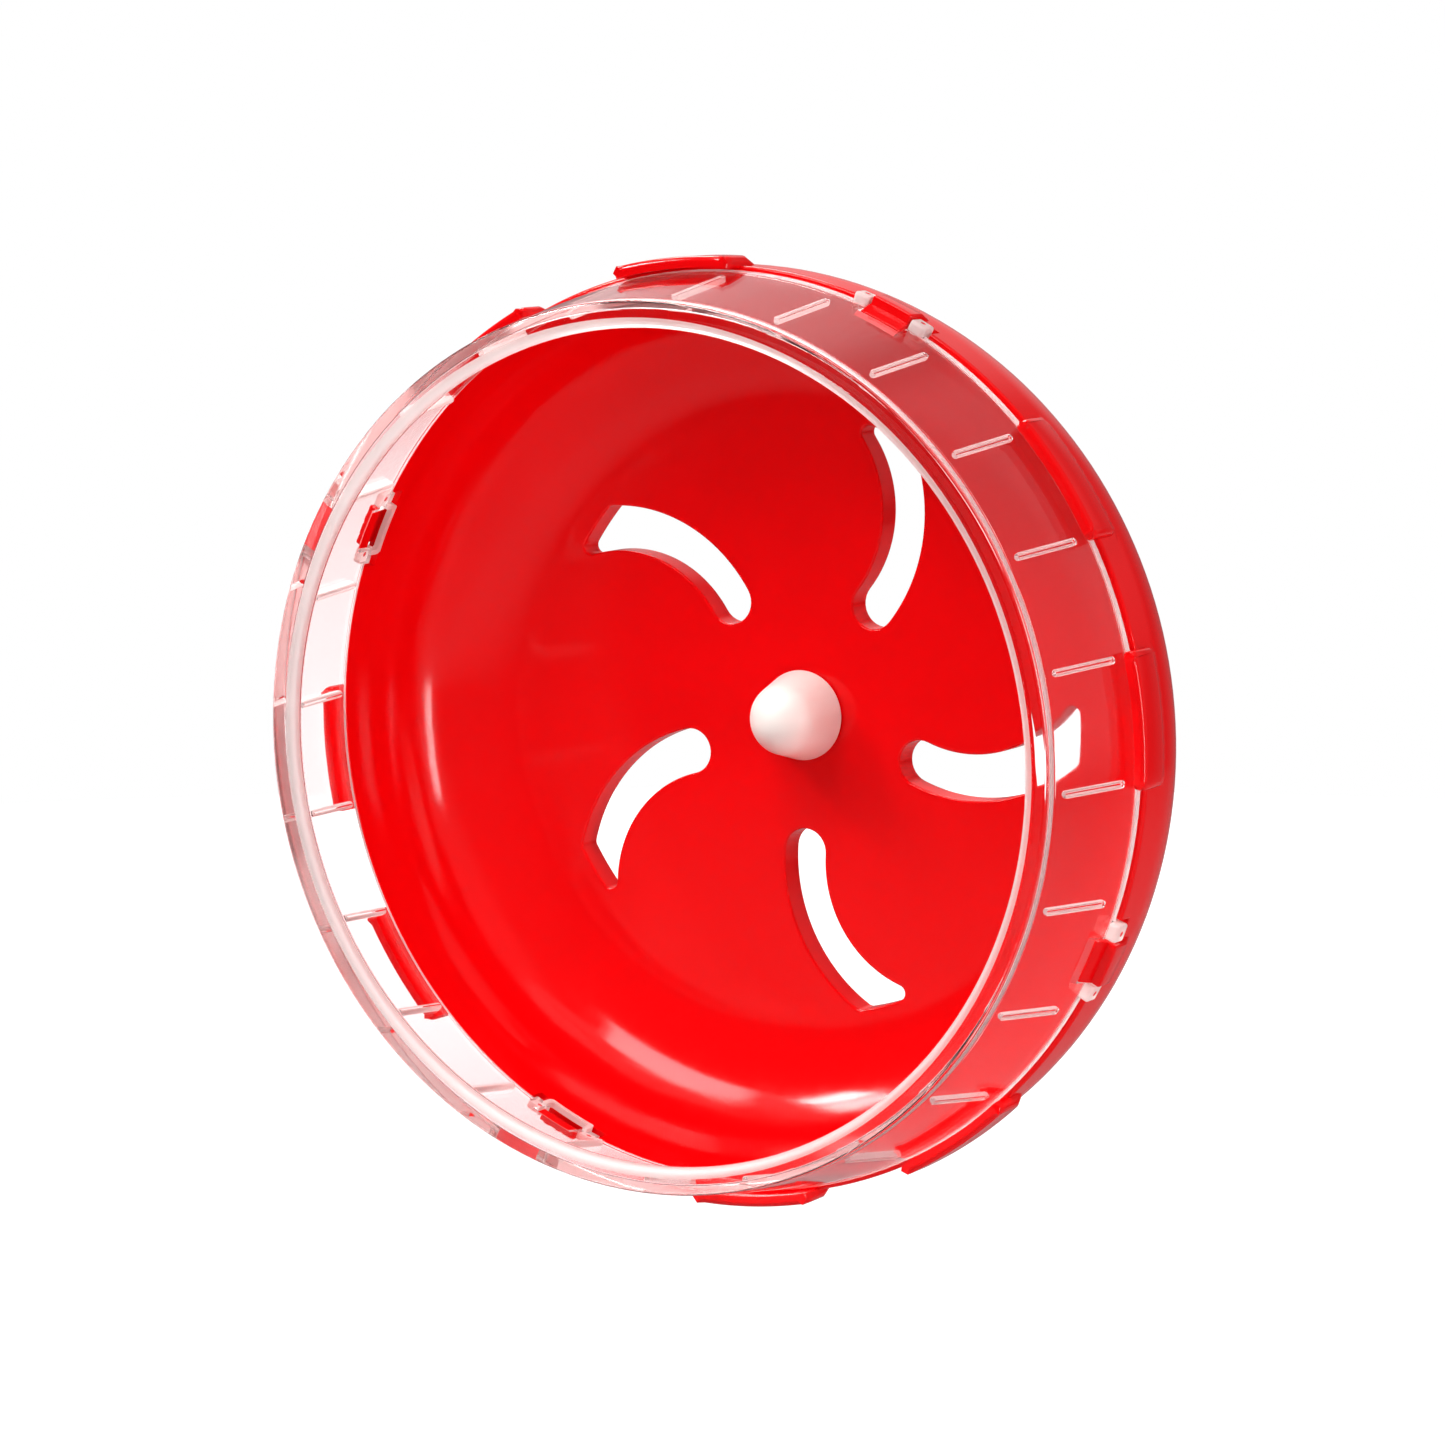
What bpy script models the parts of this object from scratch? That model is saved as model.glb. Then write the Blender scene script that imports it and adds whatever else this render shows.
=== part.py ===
"""Small hamster wheel: a clear track ring snapped onto a red bowl that turns on a ball bearing.

The wheel's axis is the world Y axis, its open front faces -Y, and +Z is up.
The origin is the centre of the rear seat, where the fixed collar meets a cage panel.
Depth is measured along the axis from the front lip (0) towards the rear.
Angles are counter-clockwise as seen from the front, from +X towards +Z.
"""
import math

import bmesh
import bpy
from mathutils import Matrix, Vector

MM = 0.001

# Clearances shared by the whole wheel
seat_gap = 0.3 * MM
ball_gap = 0.15 * MM
cut_overrun = 1.0 * MM
weld_distance = 0.001 * MM

# How finely round pieces are divided
wheel_steps = 60
hub_steps = 24
small_steps = 20
circlip_steps = 18
pocket_steps = 12
groove_steps = 4
ball_steps_round = 10
ball_steps_down = 7
lip_round_steps = 6
bowl_corner_steps = 6
dome_steps = 6
tab_nose_steps = 2
tab_corner_steps = 3

# How many parts the snap and tab shapes have along the rim
frame_parts = 6
post_parts = 1
window_parts = 3
notch_parts = 4
tab_parts = 4
tongue_parts = 2
catch_parts = 3

# Clear track ring, measured on its outer face; it is narrower in front by its taper
track_depth = 22.5 * MM
track_rear_radius = 68.0 * MM
track_taper = 3.7 * MM
track_wall = 1.6 * MM
lip_height = 3.9 * MM
lip_thickness = 3.0 * MM
lip_corner_round = 1.2 * MM

# Rungs moulded inside the track
rung_count = 24
rung_front = 5.5 * MM
rung_rear = 19.8 * MM
rung_width = 1.1 * MM
rung_height = 0.9 * MM
rung_sink = 0.8 * MM

# Twelve joints round the rim: every third is a snap, the others are long tabs
rim_joint_count = 12
rim_joint_start = math.radians(5.6)
snap_every = 3
snap_offset = 2

# Snap frames on the clear ring
frame_reach = 2.9 * MM
frame_bar = 2.7 * MM
frame_width = 12.6 * MM
frame_post_width = 2.7 * MM
frame_root = 1.0 * MM
frame_inset = 0.15 * MM
post_proud = 1.3 * MM
post_lap = 1.3 * MM
post_reach = 2.1 * MM
window_front_lap = 3.6 * MM

# Red bowl, whose rim stands out beyond the ring by its step and whose side runs back to the corner
bowl_wall = 2.0 * MM
bowl_step = 0.6 * MM
bowl_side = 5.2 * MM
bowl_corner_radius = 21.5 * MM
rim_round = 0.5 * MM

# Long tabs that lap over the ring, and the shorter snap tongues
tab_thickness = 1.7 * MM
tab_width = 20.0 * MM
tab_lap = 3.2 * MM
tab_tail = 6.2 * MM
tab_slope = 4.0 * MM
tab_corner = 1.6 * MM
tab_front_round = 1.4 * MM
tongue_thickness = 1.5 * MM
tongue_width = 6.8 * MM
tongue_lap = 1.0 * MM
catch_width = 6.6 * MM
catch_depth_in_window = 1.3 * MM
catch_slope = 0.9 * MM

# Five curved slots between boss and corner, each a band about an arc whose centre lies off the hub
slot_count = 5
slot_width = 6.9 * MM
slot_arc_radius_share = 0.4755
slot_arc_offset_share = 0.675
slot_arc_bearing = math.radians(99.8)
slot_boss_margin = 6.2 * MM
slot_corner_margin = 1.5 * MM
slot_corner_round = 1.2 * MM
slot_collar_wall = 1.3 * MM
slot_collar_reach = 2.5 * MM
slot_arc_steps = 7
slot_round_steps = 6
slot_corner_steps = 4

# Fixed axle, from its head inside the cap to its threaded rear end
axle_radius = 3.0 * MM
axle_head_step = 0.9 * MM
axle_head_height = 2.5 * MM
axle_chamfer = 0.6 * MM
nut_length = 5.0 * MM
axle_tail = 2.4 * MM

# Ball bearing
bearing_outer_radius = 8.5 * MM
bearing_width = 6.0 * MM
bearing_pitch_radius = 5.9 * MM
ball_radius = 1.5 * MM
ball_count = 7
race_shoulder_gap = 0.95 * MM
cage_half_width = 2.1 * MM
cage_clearance = 0.2 * MM
shield_thickness = 0.4 * MM
shield_inset = 0.15 * MM
race_chamfer = 0.3 * MM

# Hub boss behind the plate, which holds the bearing
boss_wall = 2.4 * MM
boss_lip = 1.2 * MM
boss_fillet = 1.5 * MM
stop_thickness = 1.2 * MM
stop_step = 0.5 * MM
web_thickness = 2.7 * MM
circlip_thickness = 0.8 * MM
circlip_reach = 1.0 * MM
circlip_bite = 0.5 * MM
circlip_opening = math.radians(36.0)

# Spacers, front spigot and cap
front_spacer_wall = 0.7 * MM
rear_spacer_wall = 1.3 * MM
rear_spacer_length = 4.2 * MM
spigot_wall = 0.7 * MM
spigot_height = 1.8 * MM
cap_foot = 1.6 * MM
cap_dome_step = 1.3 * MM
cap_dome_height = 4.9 * MM
cap_wall = 1.2 * MM

# Rear collar, panel washer and nut
collar_radius = 8.0 * MM
collar_thickness = 3.0 * MM
collar_chamfer = 0.5 * MM
panel_space = 5.0 * MM
washer_radius = 7.5 * MM
washer_thickness = 1.2 * MM
nut_across_flats = 10.0 * MM
nut_sides = 6

# Radii that follow from the sizes above
track_front_radius = track_rear_radius - track_taper
lip_inner_radius = track_front_radius - lip_height
bowl_rim_radius = track_rear_radius + bowl_step
tab_radius = track_rear_radius + seat_gap + tab_thickness
tongue_radius = track_rear_radius + seat_gap + tongue_thickness
bore_radius = axle_radius + seat_gap
axle_head_radius = axle_radius + axle_head_step
front_spacer_radius = bore_radius + front_spacer_wall
rear_spacer_radius = bore_radius + rear_spacer_wall
spigot_radius = front_spacer_radius + seat_gap + spigot_wall
cap_base_radius = spigot_radius + seat_gap + cap_foot
cap_dome_radius = cap_base_radius - cap_dome_step
bearing_seat_radius = bearing_outer_radius + seat_gap
stop_radius = bearing_pitch_radius + stop_step
circlip_inner_radius = bearing_outer_radius - circlip_reach
boss_radius = bearing_seat_radius + boss_wall
plate_radius = bowl_rim_radius - bowl_corner_radius
slot_arc_radius = plate_radius * slot_arc_radius_share
slot_arc_offset = plate_radius * slot_arc_offset_share
slot_inner_radius = boss_radius + slot_boss_margin
slot_outer_radius = plate_radius - slot_corner_margin

# Depths that follow from the sizes above
bowl_depth = track_depth + seat_gap + bowl_side + bowl_corner_radius
plate_front = bowl_depth - bowl_wall
bearing_front = plate_front + web_thickness + stop_thickness + seat_gap
bearing_rear = bearing_front + bearing_width
bearing_middle = bearing_front + bearing_width / 2
circlip_front = bearing_rear + seat_gap
boss_rear = circlip_front + circlip_thickness + seat_gap + boss_lip
spigot_front = plate_front - spigot_height
axle_seat = spigot_front - seat_gap
collar_front = bearing_rear + seat_gap + rear_spacer_length + seat_gap
collar_rear = collar_front + collar_thickness
washer_front = collar_rear + panel_space
nut_front = washer_front + washer_thickness + seat_gap
axle_rear = nut_front + nut_length + axle_tail


def clear_scene():
    """Remove every object that the file starts with."""
    for item in list(bpy.data.objects):
        bpy.data.objects.remove(item)


def new_collection(name):
    """Make a collection under the scene."""
    collection = bpy.data.collections.new(name)
    bpy.context.scene.collection.children.link(collection)
    return collection


def new_material(name, colour, roughness, metallic=0.0, transmission=0.0):
    """Make a Principled material."""
    material = bpy.data.materials.new(name)
    material.use_nodes = True
    shader = material.node_tree.nodes["Principled BSDF"]
    shader.inputs["Base Color"].default_value = (*colour, 1.0)
    shader.inputs["Roughness"].default_value = roughness
    shader.inputs["Metallic"].default_value = metallic
    shader.inputs["Transmission Weight"].default_value = transmission
    material.diffuse_color = (*colour, 1.0)
    return material


def new_axis(name, collection):
    """Make an empty on the wheel's axis at the front lip, its local +Z pointing to the rear."""
    axis = bpy.data.objects.new(name, None)
    axis.location = (0, -collar_rear, 0)
    axis.rotation_euler = (math.radians(-90), 0, 0)
    axis.empty_display_size = bowl_depth
    collection.objects.link(axis)
    return axis


def place(item, collection, parent, material=None):
    """Put an object in its collection, on its axis, with its material."""
    for owner in list(item.users_collection):
        owner.objects.unlink(item)
    collection.objects.link(item)
    item.parent = parent
    if material is not None:
        item.data.materials.clear()
        item.data.materials.append(material)
    return item


def as_tool(item, collection, parent):
    """Keep a cutter or a joined-on shape out of the finished model."""
    place(item, collection, parent)
    item.hide_render = True
    item.display_type = "WIRE"
    return item


def smooth(item, angle=math.radians(35)):
    """Shade a round piece smooth, with its real edges sharp."""
    item.data.shade_smooth()
    item.data.set_sharp_from_angle(angle=angle)
    return item


def arc(centre_radius, centre_depth, radius, start, end, steps):
    """Points along an arc in the profile plane, angles in degrees from the outward radius."""
    points = []
    for index in range(steps + 1):
        angle = math.radians(start + (end - start) * index / steps)
        points.append((centre_radius + radius * math.cos(angle), centre_depth + radius * math.sin(angle)))
    return points


def turned(name, profile, steps, closed=True):
    """Turn a (radius, depth) profile about the axis; its outer side runs from the rear to the front."""
    count = len(profile)
    edges = [(index, index + 1) for index in range(count - 1)]
    if closed:
        edges.append((count - 1, 0))
    mesh = bpy.data.meshes.new(name)
    mesh.from_pydata([(radius, 0, depth) for radius, depth in profile], edges, [])
    item = bpy.data.objects.new(name, mesh)
    screw = item.modifiers.new("Turn", "SCREW")
    screw.axis = "Z"
    screw.angle = math.radians(360)
    screw.steps = steps
    screw.render_steps = steps
    screw.use_merge_vertices = True
    screw.merge_threshold = weld_distance
    screw.use_smooth_shade = True
    return item


def sector_mesh(name, profile, width, radius, steps, corner=0.0):
    """Turn a (radius, depth) profile part way, centred on angle 0, to an arc width at a radius."""
    half_angle = width / radius / 2
    shape = bmesh.new()
    corners = [shape.verts.new((r, 0, d)) for r, d in profile]
    face = shape.faces.new(corners)
    start = Matrix.Rotation(-half_angle, 3, "Z")
    bmesh.ops.rotate(shape, verts=corners, cent=(0, 0, 0), matrix=start)
    bmesh.ops.spin(
        shape, geom=[face] + list(face.edges) + corners, cent=(0, 0, 0), axis=(0, 0, 1),
        angle=2 * half_angle, steps=steps, use_duplicate=False)
    if corner > 0:
        front = min(depth for _, depth in profile)
        ends = [edge for edge in shape.edges if is_front_end(edge, front, half_angle)]
        bmesh.ops.bevel(
            shape, geom=ends, offset=corner, offset_type="OFFSET", segments=tab_corner_steps, profile=0.5,
            affect="EDGES", material=-1)
    bmesh.ops.recalc_face_normals(shape, faces=shape.faces)
    mesh = bpy.data.meshes.new(name)
    shape.to_mesh(mesh)
    shape.free()
    return mesh


def is_front_end(edge, front, half_angle):
    """True for the radial edge at the front of either end of a sector."""
    for vert in edge.verts:
        angle = abs(math.atan2(vert.co.y, vert.co.x))
        if vert.co.z - front > weld_distance or half_angle - angle > weld_distance:
            return False
    return edge.verts[0].co.y * edge.verts[1].co.y > 0


def outline_mesh(name, outline, low, high):
    """Make a flat outline solid between two depths."""
    curve = bpy.data.curves.new(name, "CURVE")
    curve.dimensions = "2D"
    curve.fill_mode = "BOTH"
    curve.extrude = (high - low) / 2
    spline = curve.splines.new("POLY")
    spline.points.add(len(outline) - 1)
    for point, (x, y) in zip(spline.points, outline):
        point.co = (x, y, 0, 1)
    spline.use_cyclic_u = True
    flat = bpy.data.objects.new(name, curve)
    flat.location = (0, 0, (low + high) / 2)
    bpy.context.scene.collection.objects.link(flat)
    bpy.context.view_layer.update()
    solid = flat.evaluated_get(bpy.context.evaluated_depsgraph_get())
    mesh = bpy.data.meshes.new_from_object(solid)
    mesh.transform(flat.matrix_world)
    bpy.data.objects.remove(flat)
    shape = bmesh.new()
    shape.from_mesh(mesh)
    bmesh.ops.remove_doubles(shape, verts=shape.verts, dist=weld_distance)
    bmesh.ops.recalc_face_normals(shape, faces=shape.faces)
    shape.to_mesh(mesh)
    shape.free()
    return mesh


def repeated(name, mesh, matrices):
    """Join copies of one mesh, placed by the matrices, in a single object."""
    shape = bmesh.new()
    for matrix in matrices:
        copy = mesh.copy()
        copy.transform(matrix)
        shape.from_mesh(copy)
        bpy.data.meshes.remove(copy)
    joined = bpy.data.meshes.new(name)
    shape.to_mesh(joined)
    shape.free()
    return bpy.data.objects.new(name, joined)


def around(angles):
    """Turn matrices for places round the axis, as seen from the front."""
    return [Matrix.Rotation(-angle, 4, "Z") for angle in angles]


def combine(target, tool, operation):
    """Add a Boolean of a tool to a target."""
    boolean = target.modifiers.new(tool.name, "BOOLEAN")
    boolean.object = tool
    boolean.operation = operation
    boolean.solver = "EXACT"


def rim_angles(snaps):
    """Angles of the snaps, or of the long tabs, round the rim."""
    angles = []
    for index in range(rim_joint_count):
        is_snap = index % snap_every == snap_offset
        if is_snap == snaps:
            angles.append(rim_joint_start + math.tau * index / rim_joint_count)
    return angles


def track_radius_at(depth):
    """Outer radius of the tapered track at a depth."""
    share = depth / track_depth
    return track_front_radius + (track_rear_radius - track_front_radius) * share


def ring_profile():
    """Section of the clear ring: tapered wall with a rounded lip turned inwards."""
    half = lip_thickness / 2
    rear_inner = track_rear_radius - track_wall
    lip_root = track_radius_at(lip_thickness) - track_wall
    outline = [(track_rear_radius, track_depth), (track_radius_at(lip_corner_round), lip_corner_round)]
    outline += arc(track_front_radius - lip_corner_round, lip_corner_round, lip_corner_round, 0, -90, 3)[1:]
    outline += arc(lip_inner_radius + half, half, half, -90, -270, lip_round_steps)
    outline += [(lip_root, lip_thickness), (rear_inner, track_depth)]
    return outline


def rung_tool(name):
    """Twenty-four rounded bars along the inside of the track, as one joined-on shape."""
    half_width = rung_width / 2
    half_length = (rung_rear - rung_front) / 2
    outline = []
    for end in (1, -1):
        centre = end * (half_length - half_width)
        for index in range(5):
            angle = math.radians(45 * index) if end > 0 else math.radians(180 + 45 * index)
            outline.append((half_width * math.cos(angle), centre + half_width * math.sin(angle)))
    bar = outline_mesh(name + "_bar", outline, -rung_sink, rung_height)
    middle = (rung_front + rung_rear) / 2
    taper = math.atan2(track_rear_radius - track_front_radius, track_depth)
    inward = Matrix(((0, 0, -1), (-1, 0, 0), (0, 1, 0))).to_4x4()
    lean = Matrix.Rotation(taper, 4, "Y")
    seat = Matrix.Translation((track_radius_at(middle) - track_wall, 0, middle))
    half_pitch = math.tau / rung_count / 2
    angles = [rim_joint_start + half_pitch + math.tau * index / rung_count for index in range(rung_count)]
    return repeated(name, bar, [turn @ seat @ lean @ inward for turn in around(angles)])


def snap_frame_tool(name):
    """Backward frames that carry the snap windows on the clear ring."""
    root = track_depth - frame_root
    rear = track_depth + frame_reach
    inner = track_rear_radius - track_wall + frame_inset
    outer = track_rear_radius - frame_inset
    root_outer = track_radius_at(root) - frame_inset
    root_inner = root_outer - track_wall + 2 * frame_inset
    profile = [(root_inner, root), (root_outer, root), (outer, track_depth), (outer, rear), (inner, rear)]
    mesh = sector_mesh(name, profile, frame_width, track_rear_radius, frame_parts)
    return repeated(name, mesh, around(rim_angles(True)))


def snap_post_tool(name):
    """Raised posts at both sides of each snap window."""
    front = track_depth - post_lap
    rear = track_depth + post_reach
    inner = track_rear_radius - track_wall + 2 * frame_inset
    outer = track_rear_radius + post_proud
    profile = [(inner, front), (outer, front), (outer, rear), (inner, rear)]
    mesh = sector_mesh(name, profile, frame_post_width, track_rear_radius, post_parts)
    swing = ((frame_width - frame_post_width) / 2 - frame_inset) / track_rear_radius
    angles = []
    for angle in rim_angles(True):
        angles += [angle - swing, angle + swing]
    return repeated(name, mesh, around(angles))


def snap_window_tool(name):
    """Openings through the clear ring that the red catches fill."""
    front = track_depth - window_front_lap
    rear = track_depth + frame_reach - frame_bar
    inner = track_radius_at(front) - track_wall - cut_overrun
    outer = track_rear_radius + post_proud + cut_overrun
    width = frame_width - 2 * frame_post_width
    profile = [(inner, front), (outer, front), (outer, rear), (inner, rear)]
    mesh = sector_mesh(name, profile, width, track_rear_radius, window_parts)
    return repeated(name, mesh, around(rim_angles(True)))


def build_ring(parts, tools, axis, material):
    """Clear front ring with its rungs and snap windows."""
    ring = turned("front_track_ring", ring_profile(), wheel_steps)
    place(ring, parts, axis, material)
    for maker, name, operation in (
            (rung_tool, "track_rungs", "UNION"),
            (snap_frame_tool, "snap_frames", "UNION"),
            (snap_post_tool, "snap_posts", "UNION"),
            (snap_window_tool, "snap_windows", "DIFFERENCE")):
        combine(ring, as_tool(maker(name), tools, axis), operation)
    return smooth(ring)


def bowl_profile():
    """Section of the bowl's skin: flat plate, wide corner and short side wall."""
    rim = track_depth + seat_gap
    inner_radius = bowl_rim_radius - bowl_wall
    corner_depth = bowl_depth - bowl_corner_radius
    outline = [(0, bowl_depth)]
    outline += arc(plate_radius, corner_depth, bowl_corner_radius, 90, 0, bowl_corner_steps)
    outline += [(bowl_rim_radius, rim + rim_round), (bowl_rim_radius - rim_round, rim), (inner_radius, rim)]
    inside_corner = bowl_corner_radius - bowl_wall
    outline += arc(plate_radius, corner_depth, inside_corner, 0, 90, bowl_corner_steps)
    outline += [(0, plate_front)]
    return outline


def hub_tool(name):
    """Boss behind the plate and spigot in front of it, still solid."""
    inside = bowl_depth - bowl_wall / 2
    skirt = boss_radius + boss_fillet + bowl_depth - inside
    profile = [
        (0, boss_rear), (boss_radius, boss_rear), (boss_radius, bowl_depth + boss_fillet), (skirt, inside),
        (spigot_radius, inside), (spigot_radius, spigot_front), (0, spigot_front)]
    return turned(name, profile, hub_steps, closed=False)


def hub_bore_tool(name):
    """Stepped bore: sleeve hole, stop for the bearing, bearing seat and circlip groove."""
    sleeve_radius = front_spacer_radius + seat_gap
    web_rear = plate_front + web_thickness
    seat_front = bearing_front - seat_gap
    groove_radius = bearing_seat_radius + circlip_bite + seat_gap
    groove_front = circlip_front - seat_gap / 2
    groove_rear = circlip_front + circlip_thickness + seat_gap / 2
    rear = boss_rear + cut_overrun
    front = spigot_front - cut_overrun
    profile = [
        (0, rear), (bearing_seat_radius, rear), (bearing_seat_radius, groove_rear),
        (groove_radius, groove_rear), (groove_radius, groove_front), (bearing_seat_radius, groove_front),
        (bearing_seat_radius, seat_front), (stop_radius, seat_front), (stop_radius, web_rear),
        (sleeve_radius, web_rear), (sleeve_radius, front), (0, front)]
    return turned(name, profile, hub_steps, closed=False)


def lap_profile(outer, lap):
    """Section of a tab or tongue: it laps over the ring and slopes down into the bowl's wall."""
    inner = track_rear_radius + seat_gap
    front = track_depth - lap
    rear = track_depth + seat_gap + tab_tail
    nose_round = min(tab_front_round, outer - inner)
    nose = arc(outer - nose_round, front + nose_round, nose_round, -90, 0, tab_nose_steps)
    return [(inner, front), *nose, (outer, rear - tab_slope), (inner, rear)]


def tab_tool(name):
    """Eight long tabs that hold the ring's edge."""
    mesh = sector_mesh(name, lap_profile(tab_radius, tab_lap), tab_width, tab_radius, tab_parts, tab_corner)
    return repeated(name, mesh, around(rim_angles(False)))


def notch_tool(name):
    """Cuts in the bowl's rim that let the ring's snap frames in."""
    inner = bowl_rim_radius - bowl_wall - cut_overrun
    outer = bowl_rim_radius + cut_overrun
    front = track_depth + seat_gap - cut_overrun
    rear = track_depth + frame_reach + seat_gap
    profile = [(inner, front), (outer, front), (outer, rear), (inner, rear)]
    width = frame_width + 2 * seat_gap
    mesh = sector_mesh(name, profile, width, track_rear_radius, notch_parts)
    return repeated(name, mesh, around(rim_angles(True)))


def tongue_tool(name):
    """Four snap tongues over the ring's frames."""
    profile = lap_profile(tongue_radius, tongue_lap)
    mesh = sector_mesh(name, profile, tongue_width, tongue_radius, tongue_parts)
    return repeated(name, mesh, around(rim_angles(True)))


def catch_tool(name):
    """Catches that reach forward from the tongues and fill the windows, sloped at the front."""
    front = track_depth - window_front_lap + seat_gap
    rear = track_depth + frame_reach - frame_bar - seat_gap
    root = track_depth - tongue_lap + frame_inset
    outer = track_rear_radius + seat_gap + frame_inset
    inner = track_rear_radius - catch_depth_in_window
    profile = [
        (track_radius_at(front), front), (outer, root), (outer, rear), (inner, rear),
        (inner, front + catch_slope)]
    mesh = sector_mesh(name, profile, catch_width, track_rear_radius, catch_parts)
    return repeated(name, mesh, around(rim_angles(True)))


def polar(distance, angle):
    """Vector of a length at an angle in the plate's plane."""
    return Vector((math.cos(angle), math.sin(angle))) * distance


def arc_points(centre, radius, start, end, steps):
    """Points of an arc about a centre in the plate's plane."""
    return [centre + polar(radius, start + (end - start) * index / steps) for index in range(steps + 1)]


def slot_angle(band_radius, hub_distance):
    """Angle about the slot's arc centre where a band circle lies at a distance from the hub."""
    spread = hub_distance ** 2 - slot_arc_offset ** 2 - band_radius ** 2
    return slot_arc_bearing - math.acos(spread / (2 * slot_arc_offset * band_radius))


def slot_outline(grow):
    """Outline of one slot, grown all round by a length.

    The band has a round inner end, and an outer end on a hub circle with two rounded corners.
    """
    half = slot_width / 2
    corner = slot_corner_round
    convex = slot_arc_radius + half
    concave = slot_arc_radius - half
    centre = polar(slot_arc_offset, slot_arc_bearing)
    start = slot_angle(slot_arc_radius, slot_inner_radius + half)
    convex_end = slot_angle(convex - corner, slot_outer_radius - corner)
    concave_end = slot_angle(concave + corner, slot_outer_radius - corner)
    convex_corner = centre + polar(convex - corner, convex_end)
    concave_corner = centre + polar(concave + corner, concave_end)
    convex_bearing = math.atan2(convex_corner.y, convex_corner.x)
    concave_bearing = math.atan2(concave_corner.y, concave_corner.x)
    inner_end = centre + polar(slot_arc_radius, start)
    outer = slot_outer_radius + grow
    fillet = corner + grow
    points = arc_points(centre, convex + grow, start, convex_end, slot_arc_steps)
    points += arc_points(convex_corner, fillet, convex_end, convex_bearing, 2)[1:]
    points += arc_points(Vector((0, 0)), outer, convex_bearing, concave_bearing, 2)[1:]
    points += arc_points(
        concave_corner, fillet, concave_bearing, concave_end + math.pi, slot_corner_steps)[1:]
    points += arc_points(centre, concave - grow, concave_end, start, slot_arc_steps)[1:]
    points += arc_points(
        inner_end, half + grow, start + math.pi, start + math.tau, slot_round_steps)[1:-1]
    return [(point.x, -point.y) for point in points]


def slot_turns():
    """Places of the slots round the hub."""
    return around([math.tau * index / slot_count for index in range(slot_count)])


def collar_tool(name):
    """Stiffening collars round the slots, behind the plate."""
    root = bowl_depth - bowl_wall / 2
    mesh = outline_mesh(name, slot_outline(slot_collar_wall), root, bowl_depth + slot_collar_reach)
    return repeated(name, mesh, slot_turns())


def slot_tool(name):
    """Slots through the plate and its collars."""
    front = plate_front - cut_overrun
    rear = bowl_depth + slot_collar_reach + cut_overrun
    return repeated(name, outline_mesh(name, slot_outline(0), front, rear), slot_turns())


def build_bowl(parts, tools, axis, material):
    """Red bowl with its rim joints, slots, hub boss and front spigot."""
    bowl = turned("rear_bowl", bowl_profile(), wheel_steps)
    place(bowl, parts, axis, material)
    for maker, name, operation in (
            (hub_tool, "hub_boss", "UNION"),
            (hub_bore_tool, "hub_bore", "DIFFERENCE"),
            (notch_tool, "rim_notches", "DIFFERENCE"),
            (tab_tool, "long_tabs", "UNION"),
            (tongue_tool, "snap_tongues", "UNION"),
            (catch_tool, "snap_catches", "UNION"),
            (collar_tool, "slot_collars", "UNION"),
            (slot_tool, "plate_slots", "DIFFERENCE")):
        combine(bowl, as_tool(maker(name), tools, axis), operation)
    return smooth(bowl)


def dome_profile(base_radius, dome_radius, base, dome_centre):
    """Half section of a gumdrop: a cone that runs tangent into a dome facing the front."""
    rise = base - dome_centre
    reach = math.hypot(base_radius, rise)
    start = math.degrees(math.atan2(rise, base_radius) - math.acos(dome_radius / reach))
    return [(base_radius, base)] + arc(0, dome_centre, dome_radius, start, -90, dome_steps)


def build_cap(parts, axis, material):
    """White domed cap over the axle's head, hollow inside."""
    base = plate_front - seat_gap
    dome_centre = plate_front - cap_dome_height
    outer = dome_profile(cap_base_radius, cap_dome_radius, base, dome_centre)
    inner = dome_profile(cap_base_radius - cap_wall, cap_dome_radius - cap_wall, base, dome_centre)
    outer[-1] = (0, outer[-1][1])
    inner[-1] = (0, inner[-1][1])
    cap = turned("axle_cap", inner[::-1] + outer, hub_steps, closed=False)
    return smooth(place(cap, parts, axis, material))


def build_axle(parts, axis, material):
    """Fixed steel axle: domed head in front, chamfered rear end."""
    head_front = axle_seat - axle_head_height
    side = axle_head_height / 2
    profile = [
        (0, axle_rear), (axle_radius - axle_chamfer, axle_rear), (axle_radius, axle_rear - axle_chamfer),
        (axle_radius, axle_seat), (axle_head_radius, axle_seat), (axle_head_radius, axle_seat - side),
        (axle_radius, head_front), (0, head_front)]
    axle = turned("axle_stud", profile, small_steps, closed=False)
    return smooth(place(axle, parts, axis, material))


def build_tube(name, inner, outer, front, rear, steps, parts, axis, material, chamfer=0.0):
    """Plain ring or sleeve between two depths, its outer edges chamfered if asked."""
    profile = [(outer, rear - chamfer), (outer, front + chamfer), (inner, front), (inner, rear)]
    if chamfer > 0:
        profile.insert(2, (outer - chamfer, front))
        profile.insert(0, (outer - chamfer, rear))
    tube = turned(name, profile, steps)
    return smooth(place(tube, parts, axis, material))


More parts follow.
